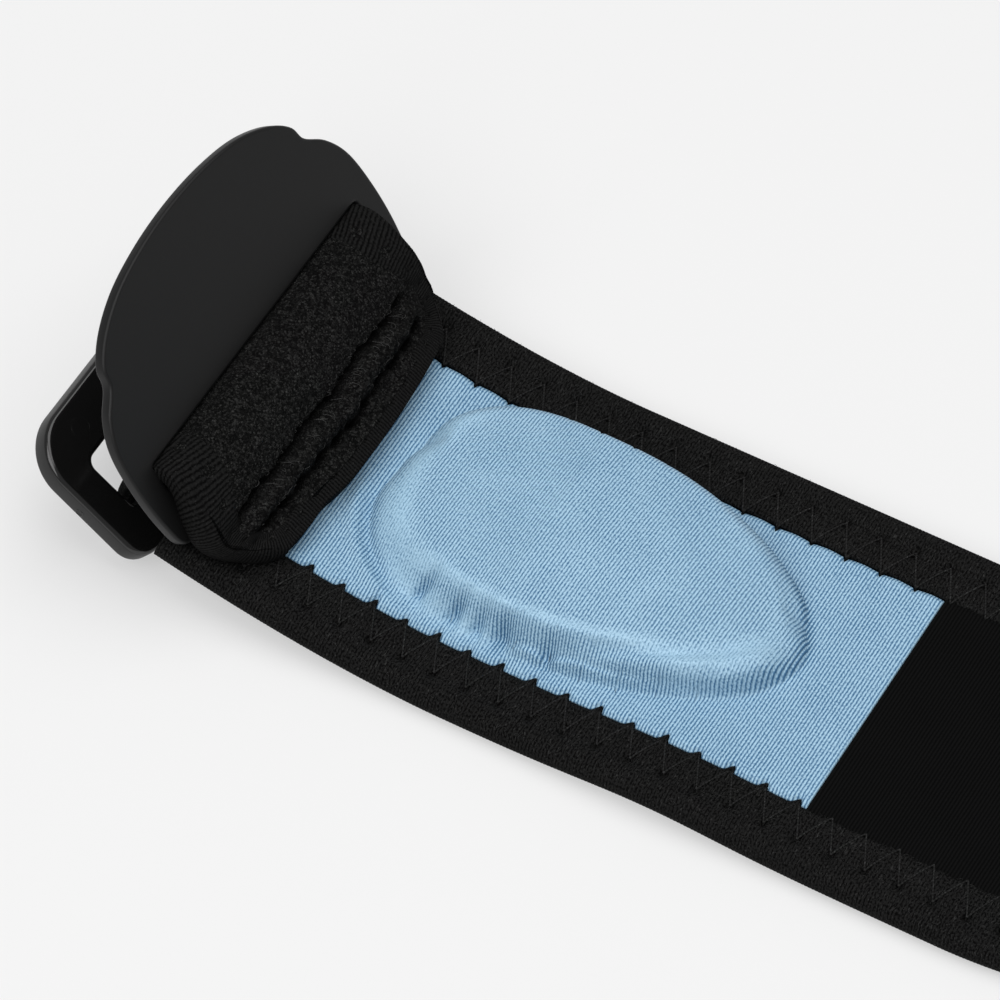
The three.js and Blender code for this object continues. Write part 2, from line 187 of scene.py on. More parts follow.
@dataclass(frozen=True)
class StrapForm:
    """Outline of the strap and how it lies, shared by every cloth piece on it."""

    start: float = -60.5
    end: float = 248.0
    half: float = 34.8
    closing_half: float = 25.0
    taper_start: float = 80.0
    taper_end: float = 150.0
    end_radius: float = 14.0
    thick: float = 4.4
    curl_start: float = -8.0
    curl_rise: float = 8.8
    curl_power: float = 1.8
    ride_start: float = 172.0
    ride_end: float = 196.0
    ride_height: float = 1.5
    lift_at: float = 29.0
    lift_spread: float = 17.0
    lift_height: float = 1.5
    lift_from: float = 8.0
    slope_step: float = 0.05

    def datum(self) -> Datum:
        """Start of x and y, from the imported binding's box."""
        low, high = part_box("edge_binding")
        return Datum(high[0] - self.end * MM, (low[1] + high[1]) / 2)

    def half_width(self, x: Array) -> Array:
        """Half width at x, without the rounding of the free end."""
        return self.half + (self.closing_half - self.half) * ease(x, self.taper_start, self.taper_end)

    def underside(self, x: Array) -> Array:
        """Height of the underside's middle at x."""
        run = (self.curl_start - np.asarray(x, float)) / (self.curl_start - self.start)
        curl = self.curl_rise * np.clip(run, 0.0, None) ** self.curl_power
        return curl + self.ride_height * ease(x, self.ride_start, self.ride_end)

    def place(self, x: Array, y: Array, n: Array) -> Array:
        """Points n above the underside, square to it.

        Args:
            x: place along the strap.
            y: place across the strap.
            n: height above the underside.

        Returns:
            Points in strap millimetres, with x, y, z on the last axis.
        """
        x, y, n = matched(x, y, n)
        step = self.slope_step
        slope = (self.underside(x + step) - self.underside(x - step)) / (2 * step)
        rise = n / np.hypot(1.0, slope)
        lift = self.lift_height * bell(x, self.lift_at, self.lift_spread)
        lift = lift * ease(-y, self.lift_from, self.half)
        return np.stack([x - slope * rise, y, self.underside(x) + rise + lift], axis=-1)


STITCH_UNEVEN = ((0.22, 2.7, 1.3),)
HOLLOW_ROUND = 0.8


@dataclass(frozen=True)
class Seam:
    """Zigzag seam along one edge of the lining: black points that reach into the blue."""

    first: float
    pitch: float
    reach: float
    lead: float
    drop: float
    hollow: float

    def phase(self, x: Array) -> Array:
        """Part of a stitch from 0 at one point to 1 at the next."""
        return np.mod((np.asarray(x, float) - self.first) / self.pitch, 1.0)

    def extra(self, x: Array) -> Array:
        """How far past its plain edge the binding reaches in at x."""
        part = self.phase(x)
        rising = ease(part, 1.0 - self.lead, 1.0) ** 2
        falling = 1.0 - ease(part, 0.0, self.drop)
        stitch = np.round((np.asarray(x, float) - self.first) / self.pitch)
        reach = self.reach * (1.0 + ripple(stitch, STITCH_UNEVEN))
        hollow = self.hollow * np.sin(math.pi * part) ** HOLLOW_ROUND
        return reach * np.maximum(rising, falling) - hollow

    def points(self, start: float, stop: float) -> Array:
        """Places of the seam's points between start and stop."""
        first = math.ceil((start - self.first) / self.pitch)
        last = math.floor((stop - self.first) / self.pitch)
        return self.first + self.pitch * np.arange(first, last + 1)


NEAR_SEAM = Seam(first=-15.0, pitch=5.92, reach=1.35, lead=0.36, drop=0.08, hollow=0.08)
FAR_SEAM = Seam(first=21.4, pitch=6.25, reach=0.78, lead=0.1, drop=0.08, hollow=0.02)


def grid_faces(rows: int, columns: int, close_columns: bool = False) -> Array:
    """Quads over a grid of vertices.

    Args:
        rows: vertex rows.
        columns: vertices in a row.
        close_columns: joins each row's end to its start.

    Returns:
        Vertex numbers of each quad.
    """
    here = np.arange(rows - 1)[:, None] * columns
    ahead = here + columns
    column = np.arange(columns if close_columns else columns - 1)[None, :]
    after = (column + 1) % columns
    return np.stack([here + column, here + after, ahead + after, ahead + column], axis=-1).reshape(-1, 4)


@dataclass
class Maker:
    """Turns arrays of strap millimetres into Blender objects in the frame."""

    datum: Datum

    def piece(self, name: str, points: Array, faces: Array, uv: Array) -> Piece:
        """Makes an object from points and quads.

        Args:
            name: the piece's name.
            points: vertices in strap millimetres.
            faces: vertex numbers of each quad.
            uv: cloth coordinates in millimetres at each vertex.

        Returns:
            The new object, smooth shaded.
        """
        mesh = bpy.data.meshes.new(name)
        spots = self.datum.metres(points.reshape(-1, 3))
        sides = faces.shape[1]
        mesh.vertices.add(len(spots))
        mesh.vertices.foreach_set("co", spots.astype(np.float32).ravel())
        mesh.loops.add(faces.size)
        mesh.loops.foreach_set("vertex_index", faces.astype(np.int32).ravel())
        mesh.polygons.add(len(faces))
        mesh.polygons.foreach_set("loop_start", np.arange(0, faces.size, sides, dtype=np.int32))
        mesh.polygons.foreach_set("use_smooth", np.ones(len(faces), dtype=bool))
        layer = mesh.uv_layers.new(name="cloth")
        flat = (uv.reshape(-1, 2) * UV_MM)[faces.ravel()]
        layer.data.foreach_set("uv", flat.astype(np.float32).ravel())
        mesh.update(calc_edges=True)
        mesh.validate()
        return placed(name, mesh)

    def skin(self, name: str, rings: Array, uv: Array) -> Piece:
        """Makes a skin over a row of closed rings of points."""
        return self.piece(name, rings, grid_faces(*rings.shape[:2], close_columns=True), uv)

    @staticmethod
    def paint(made: Piece, name: str, values: Array) -> None:
        """Stores a value at each vertex for the piece's material."""
        layer = made.data.attributes.new(name, "FLOAT", "POINT")
        layer.data.foreach_set("value", values.astype(np.float32).ravel())

    @staticmethod
    def cap(made: Piece) -> None:
        """Closes a piece's open ends with flat faces."""
        work = bmesh.new()
        work.from_mesh(made.data)
        rim = [edge for edge in work.edges if edge.is_boundary]
        for edge in rim:
            edge.smooth = False
        filled = bmesh.ops.holes_fill(work, edges=rim, sides=0)
        for face in filled["faces"]:
            face.smooth = False
        work.to_mesh(made.data)
        work.free()

    def tubes(self, name: str, paths: Array, radius: float, sides: int) -> Piece:
        """Makes one object of many thin threads.

        Args:
            name: the piece's name.
            paths: thread middle lines, as count by steps by x, y, z.
            radius: thread radius.
            sides: sides of a thread's section.

        Returns:
            The new object.
        """
        count, steps, _ = paths.shape
        along = np.gradient(paths, axis=1)
        along /= np.linalg.norm(along, axis=-1, keepdims=True) + TINY
        across = np.cross(along, np.array(THREAD_UP))
        across /= np.linalg.norm(across, axis=-1, keepdims=True) + TINY
        lift = np.cross(across, along)
        turn = (TURN * np.arange(sides) / sides)[:, None]
        ring = np.cos(turn) * across[:, :, None, :] + np.sin(turn) * lift[:, :, None, :]
        points = paths[:, :, None, :] + radius * ring
        one = grid_faces(steps, sides, close_columns=True)
        faces = (one[None] + (np.arange(count) * steps * sides)[:, None, None]).reshape(-1, 4)
        length = np.broadcast_to(np.arange(steps)[None, :, None], (count, steps, sides))
        uv = np.stack([length, np.zeros_like(length)], axis=-1).astype(float)
        return self.piece(name, points, faces, uv)


def dress(made: Piece, body: Body, slot: Slot, finish: Material, *nodes: str) -> None:
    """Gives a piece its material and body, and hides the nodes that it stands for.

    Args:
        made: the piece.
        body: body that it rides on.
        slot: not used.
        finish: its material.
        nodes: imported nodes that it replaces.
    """
    made.data.materials.append(finish)
    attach(made, body.value)
    if nodes:
        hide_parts(*nodes)
    LOG.info("%s: %d faces on %s", made.name, len(made.data.polygons), body.value)


@dataclass
class Bench:
    """Places nodes in one node tree and wires them."""

    tree: Tree

    def node(self, kind: str, **settings: object) -> Node:
        """Adds a node.

        Args:
            kind: Blender's node type.
            settings: properties to set on it.

        Returns:
            The new node.
        """
        made = self.tree.nodes.new(kind)
        for key, value in settings.items():
            setattr(made, key, value)
        return made

    def feed(self, socket: Socket, source: object) -> None:
        """Links a socket to an output, or sets its plain value."""
        if isinstance(source, Socket):
            self.tree.links.new(source, socket)
        else:
            socket.default_value = source

    def math(self, operation: str, *values: object) -> Socket:
        """Adds a math node fed with values or outputs, and gives its output."""
        made = self.node("ShaderNodeMath", operation=operation)
        for socket, value in zip(made.inputs, values):
            self.feed(socket, value)
        return made.outputs[0]

    def swing(self, value: object, size: object) -> Socket:
        """Turns a value from 0 to 1 into a swing of some size about 0."""
        return self.math("MULTIPLY", self.math("SUBTRACT", value, 0.5), size)

    def mix(self, factor: object, first: object, second: object) -> Socket:
        """Blends two colours by a factor that changes over the surface."""
        made = self.node("ShaderNodeMix", data_type="RGBA", clamp_factor=True)
        self.feed(made.inputs[0], factor)
        for socket, colour in ((6, first), (7, second)):
            self.feed(made.inputs[socket], colour if isinstance(colour, Socket) else (*colour, 1.0))
        return made.outputs[2]

    def spread(self, value: object, low: float, high: float) -> Socket:
        """Stretches low to high out to 0 to 1, smoothly."""
        made = self.node("ShaderNodeMapRange", interpolation_type="SMOOTHSTEP")
        self.feed(made.inputs["Value"], value)
        made.inputs["From Min"].default_value = low
        made.inputs["From Max"].default_value = high
        return made.outputs["Result"]

    def noise(self, vector: object, scale: object, detail: float) -> Socket:
        """Noise from 0 to 1 over a vector."""
        made = self.node("ShaderNodeTexNoise")
        self.feed(made.inputs["Vector"], vector)
        self.feed(made.inputs["Scale"], scale)
        made.inputs["Detail"].default_value = detail
        return made.outputs["Fac"]

    def place(self, kind: str) -> Socket:
        """Coordinates over the surface: UV for the cloth's, Object for the piece's own."""
        return self.node("ShaderNodeTexCoord").outputs[kind]


RIB_ROUND = 0.6
BEAD_OFFSET = 0.37
BEAD_DEPTH = 0.12
PILE_WARP = 0.6
MEAN_CREST = 0.68
LIGHT_AND_SHADE_SHARE = 0.22
ROUGHNESS_SWING = 0.14


class Effect(Enum):
    """Surface effects that more than one finish uses."""

    RIB = "rib_knit"
    PILE = "loop_pile"
    FUZZ = "fibre_fuzz"
    GRAIN = "moulded_grain"


@dataclass
class Effects:
    """Builds each surface effect once, as a node group."""

    made: dict[Effect, Tree] = field(default_factory=dict)

    def group(self, effect: Effect) -> Tree:
        """Returns an effect's group, building it the first time."""
        if effect not in self.made:
            builders = {
                Effect.RIB: self._rib,
                Effect.PILE: self._pile,
                Effect.FUZZ: self._fuzz,
                Effect.GRAIN: self._grain,
            }
            self.made[effect] = builders[effect]()
        return self.made[effect]

    @staticmethod
    def _start(effect: Effect, inputs: dict[str, float], outputs: list[str]) -> tuple[Bench, Node, Node]:
        """Makes an empty group.

        Args:
            effect: which effect it is.
            inputs: names and usual values of its inputs.
            outputs: names of its outputs.

        Returns:
            A bench for the group, and its input and output nodes.
        """
        tree = bpy.data.node_groups.new(effect.value, "ShaderNodeTree")
        for name, value in inputs.items():
            socket = tree.interface.new_socket(name=name, in_out="INPUT", socket_type="NodeSocketFloat")
            socket.default_value = value
        for name in outputs:
            tree.interface.new_socket(name=name, in_out="OUTPUT", socket_type="NodeSocketFloat")
        bench = Bench(tree)
        return bench, bench.node("NodeGroupInput"), bench.node("NodeGroupOutput")

    def _rib(self) -> Tree:
        """Ribbed knit along the cloth coordinates: rib crest, slow tone and glint."""
        usual = {"Pitch": 0.57, "Course": 0.6, "Wander": 0.1}
        bench, start, end = self._start(Effect.RIB, usual, ["Crest", "Tone", "Glint"])
        scaled = bench.node("ShaderNodeVectorMath", operation="SCALE")
        bench.feed(scaled.inputs[0], bench.place("UV"))
        scaled.inputs["Scale"].default_value = 1.0 / UV_MM
        cloth = scaled.outputs[0]
        parts = bench.node("ShaderNodeSeparateXYZ")
        bench.feed(parts.inputs[0], cloth)
        wander = bench.swing(bench.noise(cloth, scale=0.35, detail=3.0), start.outputs["Wander"])
        rib = bench.math("DIVIDE", bench.math("ADD", parts.outputs[0], wander), start.outputs["Pitch"])
        wave = bench.math("SINE", bench.math("MULTIPLY", rib, TURN))
        rounded = bench.math("POWER", bench.math("MULTIPLY_ADD", wave, 0.5, 0.5), RIB_ROUND)
        offset = bench.math("MULTIPLY", bench.math("FLOOR", rib), BEAD_OFFSET)
        row = bench.math("ADD", bench.math("DIVIDE", parts.outputs[1], start.outputs["Course"]), offset)
        bead = bench.math("SINE", bench.math("MULTIPLY", row, TURN))
        beaded = bench.math("MULTIPLY_ADD", bead, BEAD_DEPTH, 1.0 - BEAD_DEPTH)
        narrow = bench.node("ShaderNodeCombineXYZ")
        bench.feed(narrow.inputs[0], rib)
        bench.feed(narrow.inputs[1], bench.math("MULTIPLY", parts.outputs[1], 0.9))
        bench.feed(end.inputs["Crest"], bench.math("MULTIPLY", rounded, beaded))
        bench.feed(end.inputs["Tone"], bench.noise(cloth, scale=0.11, detail=4.0))
        bench.feed(end.inputs["Glint"], bench.noise(narrow.outputs[0], scale=2.4, detail=3.0))
        return bench.tree

    def _pile(self) -> Tree:
        """Short loop pile: height of the loops and the few that catch the light."""
        bench, start, end = self._start(Effect.PILE, {"Size": 0.5}, ["Height", "Fleck"])
        place = bench.place("Object")
        scale = bench.math("DIVIDE", 1.0 / MM, start.outputs["Size"])
        warp = bench.node("ShaderNodeTexNoise")
        bench.feed(warp.inputs["Vector"], place)
        bench.feed(warp.inputs["Scale"], bench.math("MULTIPLY", scale, 0.7))
        shift = bench.node("ShaderNodeVectorMath", operation="MULTIPLY_ADD")
        bench.feed(shift.inputs[0], warp.outputs["Color"])
        shift.inputs[1].default_value = grey(PILE_WARP * MM)
        bench.feed(shift.inputs[2], place)
        cells = bench.node("ShaderNodeTexVoronoi")
        bench.feed(cells.inputs["Vector"], shift.outputs[0])
        bench.feed(cells.inputs["Scale"], scale)
        tint = bench.node("ShaderNodeSeparateColor")
        bench.feed(tint.inputs[0], cells.outputs["Color"])
        tip = bench.math("SUBTRACT", 1.0, cells.outputs["Distance"])
        rare = bench.math("POWER", tint.outputs[0], 2.0)
        clumps = bench.noise(place, bench.math("MULTIPLY", scale, 0.22), detail=3.0)
        tuft = bench.math("MULTIPLY", clumps, 1.6)
        bench.feed(end.inputs["Height"], tip)
        bench.feed(end.inputs["Fleck"], bench.math("MULTIPLY", bench.math("MULTIPLY", rare, tuft), tip))
        return bench.tree

    def _fuzz(self) -> Tree:
        """Fine loose fibres: a mask of short pale strands."""
        bench, start, end = self._start(Effect.FUZZ, {"Fineness": 4.6, "Share": 0.3}, ["Strand"])
        turned = bench.node("ShaderNodeMapping")
        bench.feed(turned.inputs["Vector"], bench.place("Object"))
        turned.inputs["Rotation"].default_value = (0.0, 0.0, math.radians(35))
        turned.inputs["Scale"].default_value = (1000.0, 260.0, 600.0)
        strands = bench.noise(turned.outputs[0], start.outputs["Fineness"], detail=4.0)
        floor = bench.math("SUBTRACT", 0.75, bench.math("MULTIPLY", start.outputs["Share"], 0.4))
        above = bench.math("MULTIPLY", bench.math("SUBTRACT", strands, floor), 5.0)
        mask = bench.math("MINIMUM", bench.math("MAXIMUM", above, 0.0), 1.0)
        bench.feed(end.inputs["Strand"], mask)
        return bench.tree

    def _grain(self) -> Tree:
        """Moulded plastic: fine spark grain and a slow drift of tone."""
        bench, start, end = self._start(Effect.GRAIN, {"Size": 0.25}, ["Height", "Tone"])
        place = bench.place("Object")
        scale = bench.math("DIVIDE", 1.0 / MM, start.outputs["Size"])
        bench.feed(end.inputs["Height"], bench.noise(place, scale, detail=3.0))
        bench.feed(end.inputs["Tone"], bench.noise(place, scale=55.0, detail=4.0))
        return bench.tree


EFFECTS = Effects()


def effect_node(bench: Bench, effect: Effect, values: dict[str, float]) -> Node:
    """Adds a shared effect to a material and sets its inputs."""
    made = bench.node("ShaderNodeGroup", node_tree=EFFECTS.group(effect))
    for socket, value in values.items():
        made.inputs[socket].default_value = value
    return made


def shaded(name: str, constants: dict[str, object]) -> tuple[Material, Bench, Node]:
    """Starts a material with a Principled shader.

    Args:
        name: the material's name.
        constants: plain values for the shader's own sockets.

    Returns:
        The material, a bench for its nodes, and the shader.
    """
    material = bpy.data.materials.new(name)
    material.use_nodes = True
    bench = Bench(material.node_tree)
    shader = material.node_tree.nodes["Principled BSDF"]
    for socket, value in constants.items():
        shader.inputs[socket].default_value = value
    return material, bench, shader


def bumped(bench: Bench, shader: Node, height: Socket, depth: float, strength: float = 1.0) -> None:
    """Feeds a height to the shader's normal.

    Args:
        bench: the material's bench.
        shader: its Principled shader.
        height: output that holds the height.
        depth: depth of the relief in millimetres.
        strength: share of the relief that shows.
    """
    bump = bench.node("ShaderNodeBump")
    bump.inputs["Strength"].default_value = strength
    bump.inputs["Distance"].default_value = depth * MM
    bench.feed(bump.inputs["Height"], height)
    bench.feed(shader.inputs["Normal"], bump.outputs["Normal"])


@dataclass(frozen=True)
class KnitFinish:
    """Ribbed knit cloth with a few loose fibres."""

    name: str
    crest: Colour
    # Colour in the rib valleys: painted shade, darker than the crest.
    shaded_valley: Colour
    strand: Colour
    pitch: float = 0.57
    course: float = 0.62
    wander: float = 0.16
    depth: float = 0.12
    strands: float = 0.3
    drift: float = 0.3
    glint: float = 0.9
    ribs: float = 1.0
    roughness: float = 0.85
    specular: float = 0.2

    def material(self) -> Material:
        """Builds the finish's material."""
        constants = {"Roughness": self.roughness, "Specular IOR Level": self.specular}
        material, bench, shader = shaded(self.name, constants)
        knit = {"Pitch": self.pitch, "Course": self.course, "Wander": self.wander}
        rib = effect_node(bench, Effect.RIB, knit)
        fuzz = effect_node(bench, Effect.FUZZ, {"Share": self.strands})
        # This attribute flattens the ribs. It also paints light where it is above 0, and shade with deeper
        # ribs where it is below 0.
        stretched = bench.node("ShaderNodeAttribute", attribute_name="stretch_and_painted_light").outputs["Fac"]
        slack = bench.math("MULTIPLY", bench.math("SUBTRACT", 1.0, stretched), self.ribs)
        ribbed = bench.math("MULTIPLY", bench.math("SUBTRACT", rib.outputs["Crest"], MEAN_CREST), slack)
        toned = bench.math("ADD", ribbed, MEAN_CREST)
        # Painted light and shade from that attribute.
        painted_light_and_shade = bench.math("MULTIPLY", stretched, LIGHT_AND_SHADE_SHARE)
        drift = bench.swing(rib.outputs["Tone"], self.drift)
        # Painted glints: noise along the ribs lightens and darkens the colour the way loops catching the
        # light would.
        sparkle = bench.swing(rib.outputs["Glint"], self.glint)
        for change in (painted_light_and_shade, drift, sparkle):
            toned = bench.math("ADD", toned, change)
        # The low end of this mix paints the shade in the rib valleys, on top of the bump.
        cloth = bench.mix(bench.spread(toned, 0.0, 1.0), self.shaded_valley, self.crest)
        bench.feed(shader.inputs["Base Color"], bench.mix(fuzz.outputs["Strand"], cloth, self.strand))
        bumped(bench, shader, bench.math("MULTIPLY", rib.outputs["Crest"], slack), self.depth)
        return material


@dataclass(frozen=True)
class PileFinish:
    """Short loop pile, dark with pale flecks."""

    name: str
    deep: Colour
    tip: Colour
    size: float = 0.5
    depth: float = 0.45

    def material(self) -> Material:
        """Builds the finish's material."""
        material, bench, shader = shaded(self.name, {"Roughness": 1.0, "Specular IOR Level": 0.05})
        pile = effect_node(bench, Effect.PILE, {"Size": self.size})
        # Painted shade: the tab's stitched valleys lose their pale flecks and come out darker.
        valley_shade = bench.node("ShaderNodeAttribute", attribute_name="valley_shade").outputs["Fac"]
        unshaded_fleck = bench.math("MULTIPLY", pile.outputs["Fleck"], bench.math("SUBTRACT", 1.0, valley_shade))
        bench.feed(shader.inputs["Base Color"], bench.mix(unshaded_fleck, self.deep, self.tip))
        bumped(bench, shader, pile.outputs["Height"], self.depth)
        return material


@dataclass(frozen=True)
class PlasticFinish:
    """Moulded black plastic with a fine grain."""

    name: str
    dark: Colour
    light: Colour
    roughness: float
    specular: float
    grain: float = 0.25
    depth: float = 0.01

    def material(self) -> Material:
        """Builds the finish's material."""
        material, bench, shader = shaded(self.name, {"Specular IOR Level": self.specular})
        grain = effect_node(bench, Effect.GRAIN, {"Size": self.grain})
        bench.feed(shader.inputs["Base Color"], bench.mix(grain.outputs["Tone"], self.dark, self.light))
        varied = bench.swing(grain.outputs["Tone"], ROUGHNESS_SWING)
        bench.feed(shader.inputs["Roughness"], bench.math("ADD", varied, self.roughness))
        bumped(bench, shader, grain.outputs["Height"], self.depth, strength=0.6)
        return material


LINING_FINISH = KnitFinish(
    "lining_knit_blue", (0.385, 0.595, 0.755), (0.045, 0.145, 0.285), (0.66, 0.84, 0.95),
    strands=0.18, roughness=0.45, specular=0.35, glint=2.0,
)
BAND_FINISH = KnitFinish(
    "band_knit_black", grey(0.0044), grey(0.001), grey(0.012), strands=0.1, specular=0.05
)
BINDING_FINISH = KnitFinish(
    "binding_knit_black", (0.0105, 0.0105, 0.0103), grey(0.0006), (0.045, 0.045, 0.044),
    pitch=0.61, strands=0.4, specular=0.06, glint=5.0, wander=0.35, depth=0.1, ribs=0.75,
)
TAB_BINDING_FINISH = KnitFinish(
    "tab_binding_knit_black", (0.0105, 0.0105, 0.0103), grey(0.0006), (0.034, 0.034, 0.033),
    pitch=0.61, strands=0.3, specular=0.06, glint=2.2, wander=0.3, depth=0.12, ribs=0.95,
)
THREAD_FINISH = KnitFinish(
    "seam_thread_black", (0.016, 0.016, 0.0156), grey(0.004), grey(0.06), pitch=0.5, strands=0.45
)
FIBRE_FINISH = KnitFinish("loose_fibre_grey", (0.05, 0.05, 0.049), grey(0.03), grey(0.16), pitch=0.5)
TAB_FIBRE_FINISH = KnitFinish("tab_fibre_grey", (0.075, 0.075, 0.073), grey(0.03), grey(0.16), pitch=0.5)
PILE_FINISH = PileFinish("tab_velour", grey(0.003), (0.062, 0.062, 0.06), size=0.3, depth=0.36)
UNDER_FINISH = PileFinish("band_loop_pile", grey(0.006), grey(0.03), size=0.7, depth=0.5)
HOOK_FINISH = PileFinish("hook_tape_black", grey(0.006), grey(0.03), size=0.9, depth=0.7)
PAD_FINISH = PlasticFinish(
    "pad_foam_grey", (0.2, 0.25, 0.3), (0.26, 0.31, 0.36),
    roughness=0.9, specular=0.2, grain=0.4, depth=0.05,
)
PLATE_FINISH = PlasticFinish(
    "plate_plastic_charcoal", (0.003, 0.003, 0.0031), (0.0048, 0.0048, 0.0049),
    roughness=0.44, specular=0.28,
)
RIM_FINISH = PlasticFinish(
    "plate_rim_charcoal", (0.006, 0.006, 0.0062), (0.008, 0.008, 0.0082), roughness=0.45, specular=0.25
)
LOOP_FINISH = PlasticFinish(
    "loop_plastic_black", grey(0.004), grey(0.007), roughness=0.13, specular=0.6, grain=0.4, depth=0.004
)
# Side walls: satin, with a lighter colour than the face that paints the light falling on them.
LIT_WALL_FINISH = PlasticFinish(
    "loop_wall_satin_painted_light", grey(0.01), grey(0.02), roughness=0.42, specular=0.22, grain=0.6, depth=0.012
)

# Pleats and puffs of the lining: place along, lean, width and height.
GATHERS = (
    (-22.8, 0.5, 0.9, -2.2), (-15.1, 0.35, 0.9, -2.4), (-10.2, 0.2, 0.8, -1.5), (-5.6, 0.1, 1.1, -2.6),
    (3.2, -0.2, 1.2, -1.6), (-19.0, 0.4, 1.5, 0.9), (-12.4, 0.3, 1.2, 0.8), (-8.0, 0.1, 1.2, 0.8),
    (-1.2, -0.1, 2.0, 1.2), (9.0, -0.5, 2.0, 0.6),
)
GATHERS_Y = -20.7


@dataclass
class Lining:
    """Blue knit panel stretched over the pad and sewn down along both edges."""

    strap: StrapForm
    start: float = -50.0
    end: float = 51.4
    edge: float = 23.3
    middle_x: float = -8.0
    middle_y: float = 1.2
    blunt: float = 28.5
    pointed: float = 46.0
    half: float = 22.0
    height: float = 8.7
    crown_fall: float = 0.25
    crown_lean: float = 0.08
    squareness: float = 2.6
    fold: float = 2.2
    heel_ridge: float = 0.9
    stitch_pull: float = 0.16
    edge_tuck: float = 0.8
    end_tucks: tuple[float, float] = (0.1, 0.7)
    end_steps: tuple[float, float] = (0.12, 0.16)
    rib_skew: float = 0.06
    columns: int = 400
    rows: int = 170

    def radius(self, x: Array, y: Array) -> Array:
        """Distance from the pad's middle, 1 at the foot of its dome."""
        along = x - self.middle_x
        across = np.abs(y - self.middle_y) / self.half
        power = self.squareness
        blunt = ((np.clip(-along, 0, None) / self.blunt) ** power + across**power) ** (1 / power)
        pointed = np.hypot(np.clip(along, 0, None) / self.pointed, across)
        return np.where(along < 0, blunt, pointed)

    def _toward_far(self, y: Array) -> Array:
        """Place across the pad, from -1 at its near edge to 1 at its far one."""
        return (y - self.middle_y) / self.half

    def _near(self, y: Array) -> Array:
        """Weight of the pad's near side."""
        return ease(-self._toward_far(y), 0.0, 0.35)

    def _heel(self, x: Array, y: Array) -> Array:
        """Weight of the corner of the pad beside the tab, on the near side."""
        return ease((self.middle_x - x) / self.blunt, 0.45, 0.8) * ease(-self._toward_far(y), 0.05, 0.45)

    def rise(self, x: Array, y: Array) -> Array:
        """Height of the cloth above the flat panel.

        Args:
            x: place along the strap.
            y: place across the strap.

        Returns:
            Height in millimetres, with the dome, its foot fold, the ridge by the tab and the gathers.
        """
        r = self.radius(x, y)
        toward_far = self._toward_far(y)
        far = ease(toward_far, 0.0, 0.5)
        near = self._near(y)
        blunt = ease((self.middle_x - x) / self.blunt, -0.1, 0.6) * (1.0 - far)
        tip = ease((x - self.middle_x) / self.pointed, 0.35, 0.95) * (1.0 - far)
        corner = near * ease(x, 4.0, 24.0) * (1.0 - 0.7 * ease(x, 24.0, 36.0))
        loose = near * (1.0 - ease(x, -12.0, 2.0))
        brow = 0.82 + 0.03 * far - 0.05 * blunt + 0.06 * tip - 0.09 * corner - 0.05 * loose
        foot = 0.945 + 0.055 * np.maximum.reduce([far, blunt, tip]) + 0.03 * loose
        part = np.clip((r - brow) / (foot - brow), 0.0, 1.0)
        round_tip = tip * ease(toward_far, -1.1, -0.5)
        round_blunt = blunt * ease(toward_far, -1.0, -0.4)
        rounded = np.maximum.reduce([far, round_tip, round_blunt, corner])
        wall = (1.0 - ease(part, 0.0, 1.0)) * (1.0 - rounded) + np.sqrt(1.0 - part * part) * rounded
        lower = 1.0 - 0.3 * ease(x, 4.0, 38.0) - 0.3 * ease(x, 22.0, 40.0)
        domed = (1.0 + self.crown_lean * toward_far) * (1.0 - self.crown_fall * np.clip(r, 0, 1) ** 2)
        crown = self.height * lower * domed * wall
        fold_run = ease(x, -8.0, 6.0) * (1.0 - ease(x, 33.0, 40.0))
        fold = self.fold * near * fold_run * ease(r, 0.83, 0.93) * (1.0 - ease(r, 0.965, 1.02))
        ridge = self.heel_ridge * self._heel(x, y) * bell(r, 1.13, 0.05)
        return np.maximum(crown + fold + ridge + self._gathers(x, y, r), 0.0)

    def stretch_and_painted_light(self, x: Array, y: Array) -> Array:
        """How far the ribs are pulled flat over the pad's rim and painted lighter there, or closed up and
        painted darker as shade in the pleats, at the heel's foot and along the far crease.

        Args:
            x: place along the strap.
            y: place across the strap.

        Returns:
            Up to 1 where they are pulled flat, and below 0 where they close up.
        """
        r = self.radius(x, y)
        toward_far = self._toward_far(y)
        near = self._near(y)
        near_run = near * ease(x, -28.0, -18.0) * (1.0 - ease(x, 14.0, 26.0))
        tip_fade = 1.0 - 0.7 * ease(x, 6.0, 26.0) * ease(toward_far, -0.3, 0.1)
        rim = bell(r, 0.89 - 0.1 * near_run, 0.09 - 0.035 * near_run) * tip_fade
        rim = rim * (1.0 - ease(toward_far, 0.3, 0.9))
        loose = near * (1.0 - ease(x, -12.0, 0.0)) * bell(r, 0.96, 0.08)
        crown = 1.0 - ease(r, 0.8, 1.0)
        # Painted light: the pulled rim, the loose near wall and the crown come out lighter in colour as
        # well as flatter.
        pulled = np.maximum.reduce([0.6 * rim, 0.55 * loose, 0.12 * crown])
        # Painted shade: the pleats, the foot of the heel ridge and the far crease come out darker.
        pleat_shade = np.clip(-self._gathers(x, y, r), 0.0, None) / 4.0
        heel = 0.3 * self._heel(x, y) * bell(r, 1.03, 0.045)
        crease = 0.9 * ease(x, 2.0, 20.0) * ease(toward_far, -0.5, 0.0) * bell(r, 0.985, 0.022)
        return pulled - pleat_shade - heel - crease

    def _gathers(self, x: Array, y: Array, r: Array) -> Array:
        """Pleats and puffs on the near flank, towards the tab."""
        total = np.zeros_like(r)
        for at, lean, width, height in GATHERS:
            total += height * bell(x, at + lean * (y - GATHERS_Y), width)
        return total * ease(-self._toward_far(y), 0.15, 0.55) * bell(r, 0.93, 0.1)

